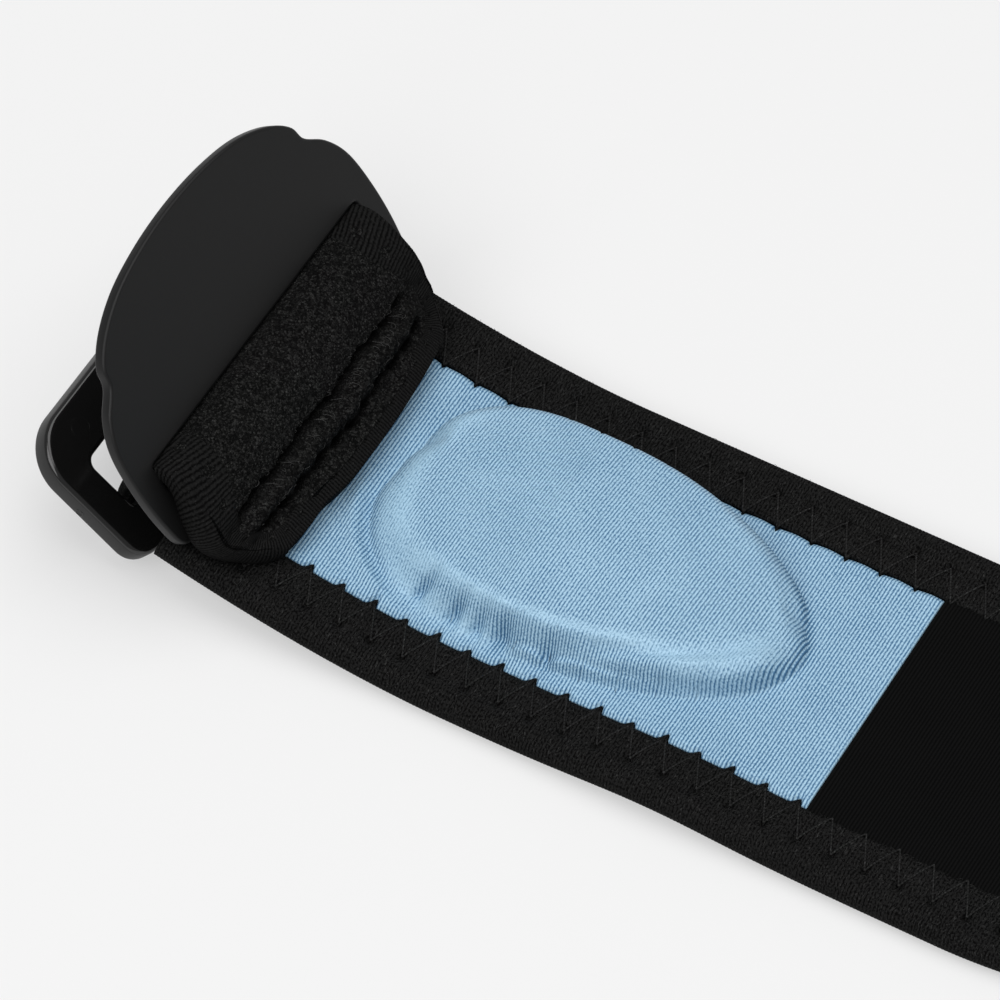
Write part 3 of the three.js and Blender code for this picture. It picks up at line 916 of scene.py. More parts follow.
    def build(self, maker: Maker) -> Piece:
        """Makes the panel and dresses it.

        Args:
            maker: turns arrays into objects.

        Returns:
            The panel.
        """
        x = np.linspace(self.start, self.end, self.columns)
        x = np.concatenate([x, [self.end + step for step in self.end_steps]])[:, None]
        part = np.linspace(-1.0, 1.0, self.rows)
        part = np.sign(part) * np.abs(part) ** 0.9
        part = np.concatenate([[-1.0], part, [1.0]])
        near = NEAR_SEAM.extra(x) - self.edge
        far = self.edge - FAR_SEAM.extra(x)
        x, y = matched(x, (near + far) / 2 + part * (far - near) / 2)
        inner = (far - near) / 2 * (1.0 - np.abs(part))
        sag = 0.55 * (1.0 - ease(inner, 0.0, 0.9))
        rise = self.rise(x, y)
        raised = np.clip(rise / self.height, 0.0, 1.0)
        phase = np.where(y < 0, NEAR_SEAM.phase(x), FAR_SEAM.phase(x))
        pull = self.stitch_pull * np.cos(TURN * phase)
        pull = pull * bell(inner, 1.0, 3.0) * (1.0 - ease(raised, 0.0, 0.3))
        n = self.strap.thick + rise * ease(inner, 0.0, 2.2) - sag - pull
        n[:, [0, -1]] -= self.edge_tuck
        n[-2:] -= np.array(self.end_tucks)[:, None]
        points = self.strap.place(x, y, n)
        step = np.hypot(np.diff(y, axis=1), np.diff(n, axis=1))
        run = np.concatenate([np.zeros((len(x), 1)), np.cumsum(step, axis=1)], axis=1)
        run -= run[:, self.rows // 2][:, None]
        uv = np.stack([x - self.rib_skew * y * raised, run], axis=-1)
        made = maker.piece("lining_knit_panel", points, grid_faces(*y.shape), uv)
        maker.paint(made, "stretch_and_painted_light", self.stretch_and_painted_light(x, y))
        dress(made, Body.STRAP, Slot.LINING, LINING_FINISH.material(), "lining_panel")
        return made


@dataclass
class Pad:
    """Egg-shaped pad below the lining."""

    lining: Lining
    clear: float = 1.3
    least: float = 0.1
    sunk: float = 1.0
    inset_x: float = 1.5
    inset_y: float = 1.8
    rings: int = 20
    sides: int = 72

    def build(self, maker: Maker) -> None:
        """Makes the pad as a closed dome and dresses it.

        Args:
            maker: turns arrays into objects.
        """
        form = self.lining
        ring = np.linspace(0.0, 1.0, self.rings)[:, None]
        turn = np.linspace(0.0, TURN, self.sides, endpoint=False)
        reach = np.where(np.cos(turn) < 0, form.blunt, form.pointed) - self.inset_x
        x = form.middle_x + ring * reach * np.cos(turn)
        y = form.middle_y + ring * (form.half - self.inset_y) * np.sin(turn)
        base = form.strap.thick - self.sunk
        top = base + np.clip(form.rise(x, y) - self.clear, self.least, None)
        top[-1] = base
        upper = form.strap.place(x, y, top)
        lower = form.strap.place(x[::-1], y[::-1], base)
        points = np.concatenate([upper, lower[1:]])
        made = maker.skin("pressure_pad_core", points, points[..., :2])
        dress(made, Body.STRAP, Slot.PAD, PAD_FINISH.material(), "pressure_pad")


@dataclass
class Band:
    """Laminated band: black rib knit inside, loop pile outside."""

    strap: StrapForm
    lining: Lining
    trim: float = 10.4
    bare: float = 4.15
    pressed: float = 3.0
    under: float = 1.35
    side_inset: float = 1.4
    end_inset: float = 1.6
    corner_inset: float = 1.3
    lined_rows: int = 120
    bare_rows: int = 260
    columns: int = 60

    def build(self, maker: Maker) -> None:
        """Makes the band's two faces and dresses them.

        Args:
            maker: turns arrays into objects.
        """
        strap = self.strap
        lined = np.linspace(strap.start, self.lining.end, self.lined_rows)
        unlined = np.linspace(self.lining.end + 0.3, strap.end - self.end_inset, self.bare_rows)
        x = np.concatenate([lined, unlined])[:, None]
        radius = strap.end_radius - self.corner_inset
        past = np.clip(x - (strap.end - strap.end_radius), 0.0, radius)
        half = strap.half_width(x) - self.side_inset - (radius - np.sqrt(radius**2 - past**2))
        x, y = matched(x, half * np.linspace(-1.0, 1.0, self.columns))
        border = ease(strap.half_width(x) - np.abs(y), self.trim - 0.6, self.trim + 0.4)
        border = border * (1.0 - ease(x, strap.end - self.trim - 0.6, strap.end - self.trim))
        high = np.where(x <= self.lining.end, self.pressed, self.bare)
        upper = strap.place(x, y, self.pressed + (high - self.pressed) * border)
        lower = strap.place(x, y, self.under * (1.0 - border))[:, ::-1]
        made = maker.skin("band_laminate", np.concatenate([upper, lower], axis=1), two_faced(x, y))
        dress(made, Body.STRAP, Slot.BAND, BAND_FINISH.material(), "strap_band")
        made.data.materials.append(UNDER_FINISH.material())
        under = (np.arange(len(made.data.polygons)) % (2 * self.columns)) >= self.columns
        made.data.polygons.foreach_set("material_index", under.astype(np.int32))
        maker.cap(made)


@dataclass
class Binding:
    """Knitted binding folded round both long edges and the free end."""

    strap: StrapForm
    lining: Lining
    reach: float = 11.2
    round: float = 1.6
    thick: float = 0.9
    rib_pitch: float = 0.61
    rib_depth: float = 0.05
    lip_ribs: float = 0.35
    fine_step: float = 0.2
    coarse_step: float = 0.7
    fine_until: float = 96.0
    pit_row: float = 5.4
    pit_depth: float = 1.3
    puff: float = 0.3
    crease: float = 0.1
    tuck: float = 0.35
    inside: tuple[float, ...] = (1.0, 0.6, 0.2, 0.2, 0.6, 1.0)
    sewn_until: float = 150.0
    fuzzy_until: float = 120.0
    fibres: int = 3600

    def route(self) -> Array:
        """Line of the fold: along the near edge, round the free end, back along the far edge.

        Returns:
            Rows of x, y, inward x and inward y.
        """
        strap = self.strap
        stop = strap.end - strap.end_radius
        fine = np.arange(strap.start, self.fine_until, self.fine_step)
        edge = np.concatenate([fine, np.arange(self.fine_until, stop, self.coarse_step)])
        near = np.stack([edge, -strap.half_width(edge), 0 * edge, 0 * edge + 1], axis=-1)
        flat = strap.closing_half - strap.end_radius
        end_y = np.linspace(-flat, flat, 34)[1:-1]
        return round_end(near, stop, strap.end_radius, flat, turns=36, end_y=end_y)

    def profile(self) -> tuple[Array, Array, Array]:
        """Section of the binding: its lower face, the fold, its upper face and the way back inside.

        Returns:
            Distance in from the fold, height, and which points lie on the upper lip.
        """
        turn = np.linspace(-QUARTER, QUARTER, 11)
        half = self.strap.thick / 2
        lower = np.linspace(1.0, 0.22, 5)
        upper = np.linspace(0.2, 1.0, 15)
        fold = self.round * (1.0 - np.cos(turn))
        inside = self.reach * np.array(self.inside)
        inward = np.concatenate([self.reach * lower, fold, self.reach * upper, inside])
        floor = self.thick + np.array([0.3, 0.0, 0.0])
        roof = self.strap.thick - floor[::-1]
        bend = half + half * np.sin(turn)
        n = np.concatenate([0 * lower, bend, 0 * upper + self.strap.thick, roof, floor])
        lip = np.concatenate([0 * lower, 0 * turn, 0 * upper + 1, 0 * roof + 1, 0 * floor])
        return inward, n, lip

    def build(self, maker: Maker) -> None:
        """Makes the binding and dresses it.

        Args:
            maker: turns arrays into objects.
        """
        line = self.route()
        along = plan_lengths(line)[:, None]
        x, y, in_x, in_y = (line[:, [column]] for column in range(4))
        inward, n, lip = self.profile()
        start, end = self.lining.start, self.lining.end
        lined = ease(x, start - 1.0, start) * (1.0 - ease(x, end, end + 0.4))
        phase = np.where(y < 0, NEAR_SEAM.phase(x), FAR_SEAM.phase(x))
        seam = np.where(y < 0, NEAR_SEAM.extra(x), FAR_SEAM.extra(x))
        seam = seam * lined + 0.12 * np.sin(x * 2.1) * (1 - lined)
        depth = inward * (1.0 + lip * seam / self.reach * ease(inward, 0.55 * self.reach, self.reach))
        inside = len(self.inside)
        outer = np.concatenate([np.ones(len(n) - inside), np.zeros(inside)])
        rib = self.rib_depth * np.sin(TURN * along / self.rib_pitch) * outer * ease(n, 0.1, 0.8)
        half = self.strap.thick / 2
        turn_out = np.clip((half - n) / half, -1, 1)
        flat = np.clip(inward / self.round, 0.0, 1.0) ** 0.5
        depth = depth - rib * (1.0 - flat)
        pit = self.pit_depth * bell(phase, 0.5, 0.11) * bell(inward, self.pit_row, 0.9)
        crease = self.crease * np.cos(TURN * phase) * bell(inward, 8.2, 2.0)
        puff = self.puff * np.sin(math.pi * np.clip(inward / self.pit_row, 0, 1))
        tuck = self.tuck * ease(inward, self.reach - 0.8, self.reach)
        height = n - turn_out * rib * flat * self.lip_ribs + lip * outer * (puff + crease - pit - tuck)
        points = self.strap.place(x + in_x * depth, y + in_y * depth, height)
        across = lengths(np.hypot(np.diff(inward), np.diff(n)))
        uv = np.stack(np.broadcast_arrays(along, across), axis=-1)
        made = maker.skin("edge_binding_knit", points, uv)
        maker.cap(made)
        dress(made, Body.STRAP, Slot.BINDING, BINDING_FINISH.material(), "edge_binding")

    def threads(self, maker: Maker) -> None:
        """Sews the zigzag thread along both edges and strews loose fibres beside it.

        Args:
            maker: turns arrays into objects.
        """
        paths = []
        part = np.linspace(0.0, 1.0, 7)
        inward = self.pit_row + part * (self.reach + 0.5 - self.pit_row)
        n = self.strap.thick + 0.4 * np.sin(math.pi * part) ** 0.5 - 0.3
        for sign, seam in ((-1.0, NEAR_SEAM), (1.0, FAR_SEAM)):
            for at in seam.points(self.strap.start + 4.0, self.sewn_until):
                for step in (-0.5, 0.5):
                    x = at + step * seam.pitch * (1.0 - part)
                    paths.append(self.strap.place(x, sign * (self.strap.half_width(x) - inward), n))
        made = maker.tubes("seam_zigzag_thread", np.array(paths), radius=0.16, sides=5)
        dress(made, Body.STRAP, Slot.BINDING, THREAD_FINISH.material())
        self._fibres(maker)

    def _fibres(self, maker: Maker) -> None:
        """Strews short loose fibres over the binding."""
        rng = np.random.default_rng(SEED)
        count = (self.fibres, 1)
        x = rng.uniform(self.strap.start + 1.0, self.fuzzy_until, count)
        side = np.where(rng.random(count) < 0.5, -1.0, 1.0)
        inward = rng.uniform(1.0, self.reach, count)
        angle = rng.uniform(0.0, math.pi, count)
        part = np.linspace(-0.5, 0.5, 4)
        run = rng.uniform(0.3, 0.9, count) * part
        bend = rng.uniform(-0.15, 0.15, count) * (1.0 - 4 * part**2)
        run_x = x + np.cos(angle) * run - np.sin(angle) * bend
        run_in = inward + np.sin(angle) * run + np.cos(angle) * bend
        y = side * (self.strap.half_width(run_x) - np.clip(run_in, 0.6, self.reach))
        n = self.strap.thick + 0.12 + rng.uniform(0.05, 0.3, count) * (1.0 - 2.2 * np.abs(part))
        made = maker.tubes("binding_loose_fibres", self.strap.place(run_x, y, n), radius=0.026, sides=3)
        dress(made, Body.STRAP, Slot.BINDING, FIBRE_FINISH.material())


FINENESS = 24


def blend(t: Array, start: float, stop: float, first: Array, second: Array) -> Array:
    """Runs from first at start to second at stop."""
    return (stop - t) / (stop - start) * first + (t - start) / (stop - start) * second


def curve_through(rows: Array, fineness: int = FINENESS) -> Array:
    """Centripetal spline through rows of values.

    Args:
        rows: control rows, the first two values being x and z.
        fineness: samples between two rows.

    Returns:
        Samples along the spline, with the same columns.
    """
    ends = np.concatenate([[2 * rows[0] - rows[1]], rows, [2 * rows[-1] - rows[-2]]])
    knots = lengths(np.sqrt(np.linalg.norm(np.diff(ends[:, :2], axis=0), axis=1)))
    pieces = []
    for at in range(1, len(ends) - 2):
        t0, t1, t2, t3 = knots[at - 1 : at + 3]
        p0, p1, p2, p3 = ends[at - 1 : at + 3]
        t = np.linspace(t1, t2, fineness, endpoint=at == len(ends) - 3)[:, None]
        middle = blend(t, t1, t2, p1, p2)
        before = blend(t, t0, t2, blend(t, t0, t1, p0, p1), middle)
        after = blend(t, t1, t3, middle, blend(t, t2, t3, p2, p3))
        pieces.append(blend(t, t1, t2, before, after))
    return np.concatenate(pieces)


# The tab's middle line, behind the plate and in front of it: x, z, thickness and half width.
TAB_HIDDEN = [
    (-50.0, 3.9, 2.8, 27.7), (-54.0, 4.1, 2.8, 27.7), (-60.0, 3.5, 2.8, 27.7), (-66.6, 2.6, 2.8, 27.7),
    (-69.56, 3.68, 2.8, 27.7), (-71.13, 6.4, 2.8, 27.7), (-70.87, 8.92, 2.8, 27.7),
    (-68.6, 14.8, 2.8, 28.6), (-66.5, 19.6, 2.8, 30.6), (-64.1, 23.1, 2.8, 31.3),
]
TAB_SHOWN = [
    (-60.8, 25.1, 3.0, 31.2), (-57.2, 24.5, 4.8, 31.1), (-53.3, 21.1, 7.0, 30.8), (-50.2, 16.8, 6.4, 30.4),
    (-47.9, 14.3, 6.6, 30.3), (-45.6, 12.6, 4.6, 30.2), (-43.9, 11.7, 4.8, 30.2), (-42.0, 10.9, 3.7, 30.2),
]
VALLEY_WOBBLE = ((0.35, 0.37, 1.0), (0.2, 1.03, 0.4), (0.16, 2.9, 0.0), (0.1, 5.3, 0.0))
PUFF_WAVES = ((0.35, 1.37, 0.6), (0.2, 2.9, 0.0))
# Rows of pale curls on the tab: distance from its end, size and count.
TAB_CURLS = ((9.8, 0.6, 46), (7.0, 0.5, 32), (12.6, 0.4, 34))


@dataclass
class Tab:
    """End tab: loop-pile cloth round the loop's bar, through the plate's slot, sewn down on the lining."""

    corner: float = 9.0
    bind_reach: float = 9.6
    end_reach: float = 4.9
    bind_rise: float = 0.15
    bind_step: float = 0.18
    bind_margin: float = 0.6
    rib_pitch: float = 0.61
    rib_depth: float = 0.06
    rib_lean: float = 0.22
    droop: float = 3.4
    far_droop: float = 1.0
    plate_offset: float = 0.85
    bow: float = 2.8
    near_belly: float = 2.2
    far_belly: float = 1.0
    slope_step: float = 0.6
    first_valley: float = 11.4
    second_valley: float = 5.6
    stitch_pitch: float = 4.6

    def __post_init__(self) -> None:
        """Measures the cloth's middle line."""
        self.line = curve_through(np.array(TAB_HIDDEN + TAB_SHOWN))
        self.along = plan_lengths(self.line)
        self.length = float(self.along[-1])
        self.slot = float(self.along[len(TAB_HIDDEN) * FINENESS])

    def read(self, along: Array, column: int) -> Array:
        """Value of one column of the middle line at a length along it."""
        return np.interp(along, self.along, self.line[:, column])

    def point(self, along: Array, y: Array, n: Array) -> Array:
        """Points of the cloth.

        Args:
            along: length along the middle line.
            y: place across the cloth.
            n: height above the middle line, square to it.

        Returns:
            Points in strap millimetres.
        """
        along, y, n = matched(along, y, n)
        ahead = np.minimum(along + self.slope_step, self.length)
        behind = np.maximum(along - self.slope_step, 0.0)
        run_x = self.read(ahead, 0) - self.read(behind, 0)
        run_z = self.read(ahead, 1) - self.read(behind, 1)
        size = np.hypot(run_x, run_z) + TINY
        beyond = np.clip(along - self.length, 0.0, None)
        x = self.read(along, 0) - run_z / size * n + run_x / size * beyond
        z = self.read(along, 1) + run_x / size * n + run_z / size * beyond
        settled = 1.0 - 0.85 * ease(along, self.length - 12.0, self.length - 2.0)
        near = self.droop * ease(-y, 14.0, 33.0) ** 1.3 * settled
        far = self.far_droop * ease(y, 16.0, 33.0)
        drop = ease(along, self.slot + 1.0, self.slot + 8.0) * (near + far)
        centred = self.plate_offset * bell(along, self.slot, 7.0)
        curve = self.bow * (0.62 - np.clip(np.abs(y) / 30.0, 0.0, 1.0) ** 2) - 0.7 * bell(y, -14.0, 4.0)
        bowed = curve * ease(along, self.length - 16.0, self.length)
        sides = self.near_belly * ease(-y, 18.0, 32.0) - self.far_belly * ease(y, 18.0, 31.0)
        belly = bell(along, self.slot + 11.5, 6.5) * sides
        return np.stack([x + bowed, y + centred - belly, z - drop], axis=-1)

    def left(self, along: Array, y: Array) -> Array:
        """Distance to the tab's end, as the stitched valleys wander from a straight line."""
        return self.length - along + ripple(y, VALLEY_WOBBLE)

    @staticmethod
    def quilted(y: Array) -> Array:
        """How much of the valleys shows at y: they end short of both edges."""
        return (1.0 - ease(-y, 25.0, 28.0)) * (1.0 - ease(y, 22.0, 25.0))

    def valleys(self, along: Array, y: Array) -> Array:
        """Depth of the two stitched valleys, less the puff of cloth between them."""
        left = self.left(along, y)
        stitch = np.cos(TURN * y / self.stitch_pitch + 0.8 * np.sin(0.3 * y))
        first = 3.4 * (0.74 + 0.26 * stitch) * bell(left, self.first_valley, 0.7)
        second = 3.3 * (0.6 + 0.4 * stitch) * bell(left, self.second_valley, 0.65)
        puff = (1.3 + ripple(y, PUFF_WAVES)) * bell(left, 8.5, 1.7)
        return (first + second - puff) * self.quilted(y)

    def valley_shade(self, along: Array, y: Array) -> Array:
        """Painted shade in the stitched valleys, from 0 to 1: where it is 1 the pale flecks are taken out
        of the pile.
        """
        left = self.left(along, y)
        pressed = bell(left, self.first_valley, 0.55) + bell(left, self.second_valley, 0.5)
        return np.clip(pressed, 0.0, 1.0) * self.quilted(y)

    def build(self, maker: Maker) -> None:
        """Makes the pile cloth and dresses it.

        Args:
            maker: turns arrays into objects.
        """
        hidden = np.linspace(0.0, self.slot, 90)
        along = np.concatenate([hidden, np.linspace(self.slot + 0.25, self.length - 2.0, 190)])[:, None]
        thick = self.read(along, 2)
        past = np.clip(along - (self.length - self.corner), 0.0, self.corner - 0.5)
        half = self.read(along, 3) - 0.8 - (self.corner - np.sqrt(self.corner**2 - past**2))
        along, y = matched(along, np.linspace(-1.0, 1.0, 120) * half)
        inner = half - np.abs(y)
        edge = np.sqrt(np.clip(1.0 - (1.0 - np.clip(inner / (thick / 2), 0, 1)) ** 2, 0.0, 1.0))
        shown = ease(along, self.slot, self.slot + 3.0)
        top = thick / 2 * edge - self.valleys(along, y) * shown + 0.3 * shown * ease(inner, 9.0, 12.0)
        upper = self.point(along, y, top)
        lower = self.point(along, y, -thick / 2 * edge)[:, ::-1]
        made = maker.skin("tab_pile_cloth", np.concatenate([upper, lower], axis=1), two_faced(along, y))
        # Painted shade mask along the two stitched valleys.
        pressed = self.valley_shade(along, y) * shown
        maker.paint(made, "valley_shade", np.concatenate([pressed, 0 * pressed], axis=1))
        maker.cap(made)
        dress(made, Body.STRAP, Slot.PILE, PILE_FINISH.material(), "fold_tab")

    def _bound_line(self) -> Array:
        """Line of the binding's fold: rows of x, y, inward x and inward y on the cloth."""
        corner = self.length - self.corner + 1.2
        edge = np.arange(self.slot - 3.0, corner, self.bind_step)
        lean = self.rib_lean * (1.0 - ease(edge, corner - 7.0, corner))
        near = np.stack([edge, -(self.read(edge, 3) + self.bind_margin), lean, 0 * edge + 1], axis=-1)
        flat = float(self.read(self.length, 3)) + self.bind_margin - self.corner
        end_y = np.arange(-flat, flat, self.bind_step)[1:]
        return round_end(near, corner, self.corner, flat, turns=76, end_y=end_y)

    def binding(self, maker: Maker) -> None:
        """Makes the ribbed binding round the tab's free edges and dresses it.

        Args:
            maker: turns arrays into objects.
        """
        line = self._bound_line()
        length = plan_lengths(line)[:, None]
        along, edge_y, in_along, in_y = (line[:, [column]] for column in range(4))
        fold = np.linspace(-QUARTER, QUARTER, 13)
        lower = np.linspace(1.0, 0.3, 5)
        upper = np.linspace(0.22, 1.0, 12)
        back = np.array([1.0, 0.6, 0.3, 0.3, 0.6, 1.0])
        share = np.concatenate([lower, 0 * fold, upper, back])
        swing = np.concatenate([0 * lower - 1, np.sin(fold), 0 * upper + 1, np.repeat([0.7, -0.7], 3)])
        bow = np.concatenate([0 * lower, 1.0 - np.cos(fold), 0 * upper, 0 * back])
        outer = np.concatenate([np.ones(len(share) - len(back)), 0 * back])
        narrows = 1.0 - ease(along, self.slot + 2.0, self.slot + 14.0)
        reach = self.end_reach + (self.bind_reach - self.end_reach) * np.abs(in_y) * narrows
        thick = self.read(np.minimum(along, self.length), 2) / 2 + self.bind_rise
        rib = self.rib_depth * np.sin(TURN * length / self.rib_pitch) * outer * (1.0 - 0.7 * np.abs(swing))
        depth = share * reach + bow * 0.5 * thick
        place = np.minimum(along + in_along * depth, self.length + 3.0)
        local = self.read(np.minimum(place, self.length), 2) / 2 + self.bind_rise
        tuck = 0.45 * ease(share, 0.86, 1.0) * outer
        dent = 0.5 * bell(np.mod(length / 4.4, 1.0), 0.5, 0.16) * bell(share, 0.62, 0.1) * outer
        n = swing * (local + rib) - np.sign(swing) * (tuck + dent)
        y = edge_y + in_y * (depth - rib * (1.0 - np.abs(swing)))
        across = lengths(np.hypot(np.diff(share * 9.0), np.diff(swing * 3.0)))
        uv = np.stack(np.broadcast_arrays(length, across), axis=-1)
        made = maker.skin("tab_edge_binding", self.point(place, y, n), uv)
        dress(made, Body.STRAP, Slot.BINDING, TAB_BINDING_FINISH.material(), "tab_binding")

    def fibres(self, maker: Maker) -> None:
        """Strews pale curls of fibre along the two valleys.

        Args:
            maker: turns arrays into objects.
        """
        rng = np.random.default_rng(SEED + 1)
        paths = []
        part = np.linspace(0.0, 1.0, 6)
        arch = 0.24 + 0.4 * np.sin(math.pi * part)
        for left, reach, count in TAB_CURLS:
            for at in rng.uniform(-25.0, 22.0, count):
                angle = rng.uniform(0.0, math.pi)
                run = reach * rng.uniform(0.5, 1.2) * (2 * part - 1)
                along = self.length - left + rng.uniform(-0.7, 0.7) + run * math.cos(angle)
                y = at + run * math.sin(angle)
                top = self.read(along, 2) / 2 - self.valleys(along, y) + arch
                paths.append(self.point(along, y, top))
        made = maker.tubes("tab_stitch_fibres", np.array(paths), radius=0.05, sides=4)
        dress(made, Body.STRAP, Slot.BINDING, TAB_FIBRE_FINISH.material())


SHARP_ANGLE = 32.0


@dataclass(frozen=True)
class Slab:
    """Leaning moulded slab, drawn flat as outlines and given a rounded edge."""

    x: float
    y: float
    z: float
    tilt: float
    thick: float
    edge: float

    def out(self) -> Vector:
        """Way that the slab's flat face looks."""
        lean = math.radians(self.tilt)
        return Vector((math.sin(lean), 0.0, math.cos(lean)))

    def matrix(self, datum: Datum) -> Matrix:
        """Turns the drawing (across, up the slab, out of its face) into the frame."""
        out = self.out()
        across = Vector((0.0, 1.0, 0.0))
        up = Vector((-out.z, 0.0, out.x))
        made = Matrix((across, up, out)).transposed().to_4x4()
        made.translation = Vector(datum.metres(np.array([self.x, self.y, self.z])))
        return made

    def solid(self, name: str, outlines: list[Array], datum: Datum, middle: float) -> Piece:
        """Makes the slab from its outline and holes.

        Args:
            name: the piece's name.
            outlines: the outer line first, then the holes, in millimetres.
            datum: where the drawing goes.
            middle: height of the slab's middle above the drawing's plane.

        Returns:
            The slab, with its mesh in the frame.
        """
        drawing = bpy.data.curves.new(name, "CURVE")
        drawing.dimensions = "2D"
        drawing.fill_mode = "BOTH"
        drawing.extrude = (self.thick / 2 - self.edge) * MM
        drawing.bevel_depth = self.edge * MM
        drawing.bevel_resolution = 4
        drawing.offset = -self.edge * MM
        for outline in outlines:
            spline = drawing.splines.new("POLY")
            spline.points.add(len(outline) - 1)
            spots = np.zeros((len(outline), 4), dtype=np.float32)
            spots[:, :2] = outline * MM
            spots[:, 3] = 1.0
            spline.points.foreach_set("co", spots.ravel())
            spline.use_cyclic_u = True
        holder = placed(name + "_drawing", drawing)
        bpy.context.view_layer.update()
        mesh = bpy.data.meshes.new_from_object(holder.evaluated_get(bpy.context.evaluated_depsgraph_get()))
        bpy.data.objects.remove(holder)
        mesh.name = name
        mesh.transform(self.matrix(datum) @ Matrix.Translation((0.0, 0.0, middle * MM)))
        mesh.polygons.foreach_set("use_smooth", np.ones(len(mesh.polygons), dtype=bool))
        mesh.set_sharp_from_angle(angle=math.radians(SHARP_ANGLE))
        return placed(name, mesh)

    def second_finish(self, made: Piece, finish: Material, limit: float) -> None:
        """Gives a second finish to the faces that turn away from the slab's flat face.

        Args:
            made: the slab, which already has its first material.
            finish: the second one.
            limit: cosine to the flat face below which it is used.
        """
        made.data.materials.append(finish)
        normals = np.zeros(len(made.data.polygons) * 3, dtype=np.float32)
        made.data.polygons.foreach_get("normal", normals)
        facing = np.abs(normals.reshape(-1, 3) @ np.array(self.out()))
        made.data.polygons.foreach_set("material_index", (facing < limit).astype(np.int32))


def rounded_rectangle(
    half: float, low: float, high: float, low_radius: float, high_radius: float, steps: int
) -> Array:
    """Outline of a rectangle with rounded corners.

    Args:
        half: half its width.
        low: its lower side.
        high: its upper side.
        low_radius: radius of the lower corners.
        high_radius: radius of the upper corners.
        steps: points round a corner.

    Returns:
        Points round it.
    """
    turn = np.linspace(0.0, QUARTER, steps)
    bottom = (low + low_radius, low_radius)
    top = (high - high_radius, high_radius)
    arcs = []
    for quarter, (side, (y, radius)) in enumerate(((1, bottom), (1, top), (-1, top), (-1, bottom))):
        angle = turn + (quarter - 1) * QUARTER
        x = side * (half - radius) + radius * np.cos(angle)
        arcs.append(np.stack([x, y + radius * np.sin(angle)], axis=-1))
    return np.concatenate(arcs)


@dataclass
class Plate:
    """Thin plastic plate with a slot, standing up at the loop end."""

    slab: Slab = Slab(x=-61.8, y=0.85, z=26.7, tilt=57.0, thick=2.2, edge=0.5)
    outline: tuple[tuple[float, float], ...] = (
        (-15.2, 31.6), (-13.4, 35.0), (-9.3, 36.1), (-0.8, 36.6), (7.2, 35.7), (11.8, 33.3),
        (15.4, 29.7), (18.2, 28.9), (21.5, 25.6), (24.8, 19.0), (26.7, 10.4),
    )
    top: float = 27.4
    slot_half: float = 31.6
    slot_low: float = -4.9
    slot_high: float = 0.2
    slot_radius: float = 0.6
    rim_limit: float = 0.97

    def build(self, maker: Maker) -> None:
        """Makes the plate and dresses it.

        Args:
            maker: turns arrays into objects.
        """
        right = [(half, along) for along, half in self.outline]
        left = [(-half, along) for along, half in reversed(self.outline)]
        line = curve_through(np.array([*right, (0.0, self.top), *left]), fineness=10)
        radius = self.slot_radius
        hole = rounded_rectangle(self.slot_half, self.slot_low, self.slot_high, radius, radius, steps=6)
        made = self.slab.solid("shield_plate_moulding", [line, hole], maker.datum, -self.slab.thick / 2)
        dress(made, Body.STRAP, Slot.PLATE, PLATE_FINISH.material(), "shield_plate")
        self.slab.second_finish(made, RIM_FINISH.material(), self.rim_limit)


@dataclass
class ClosingLoop:
    """Plastic loop that the free end passes through."""

    slab: Slab = Slab(x=-66.6, y=0.0, z=7.2, tilt=38.0, thick=4.4, edge=0.95)
    half: float = 34.8
    bar: float = 2.5
    heel: float = 4.6
    heel_width: float = 6.2
    heel_slope: float = 1.4
    bar_corner: float = 4.4
    tip: float = 22.4
    tip_corner: float = 8.6
    window: float = 13.2
    window_half: float = 28.3
    window_bar_corner: float = 1.2
    window_tip_corner: float = 1.8
    wall_limit: float = 0.3
    face_mark: tuple[float, float, float] = (-25.0, 17.7, 1.7)
    wall_mark: tuple[float, float, float] = (8.6, -0.7, 0.65)
    mark_sunk: float = 0.055
    mark_line: float = 0.07

    def build(self, maker: Maker) -> None:
        """Makes the loop and dresses it.

        Args:
            maker: turns arrays into objects.
        """
        corners = (self.bar_corner, self.tip_corner)
        outer = rounded_rectangle(self.half, -self.heel, self.tip, *corners, steps=20)
        heel = self.half - self.heel_width
        bar = heel - self.heel_slope
        step = [(-heel, -self.heel), (-bar, -self.bar), (bar, -self.bar), (heel, -self.heel)]
        corners = (self.window_bar_corner, self.window_tip_corner)
        hole = rounded_rectangle(self.window_half, self.bar, self.window, *corners, steps=8)
        outlines = [np.concatenate([outer, np.array(step)]), hole]
        made = self.slab.solid("closing_loop_moulding", outlines, maker.datum, 0.0)
        dress(made, Body.LOOP, Slot.LOOP, LOOP_FINISH.material(), "buckle_loop")
        # The walls take the lighter satin copy: painted light on the loop's sides.
        self.slab.second_finish(made, LIT_WALL_FINISH.material(), self.wall_limit)
        self._marks(maker)

    def _marks(self, maker: Maker) -> None:
        """Adds the faint ring on the face and the ejector mark on the near wall."""
        turn = np.linspace(0.0, TURN, 33)
        sine, cosine = np.sin(turn), np.cos(turn)
        sunk = self.slab.thick / 2 - self.mark_sunk
        x, y, size = self.face_mark
        face = np.stack([x + size * cosine, y + size * sine, 0 * turn + sunk], axis=-1)
        y, z, size = self.wall_mark
        wall = np.stack([0 * turn - self.half, y + size * cosine, z + size * sine], axis=-1)
        turned = np.array(self.slab.matrix(maker.datum).to_3x3())
        paths = np.array([face, wall]) @ turned.T + np.array([self.slab.x, self.slab.y, self.slab.z])
        made = maker.tubes("loop_mould_marks", paths, self.mark_line, sides=6)
        dress(made, Body.LOOP, Slot.LOOP, LOOP_FINISH.material())


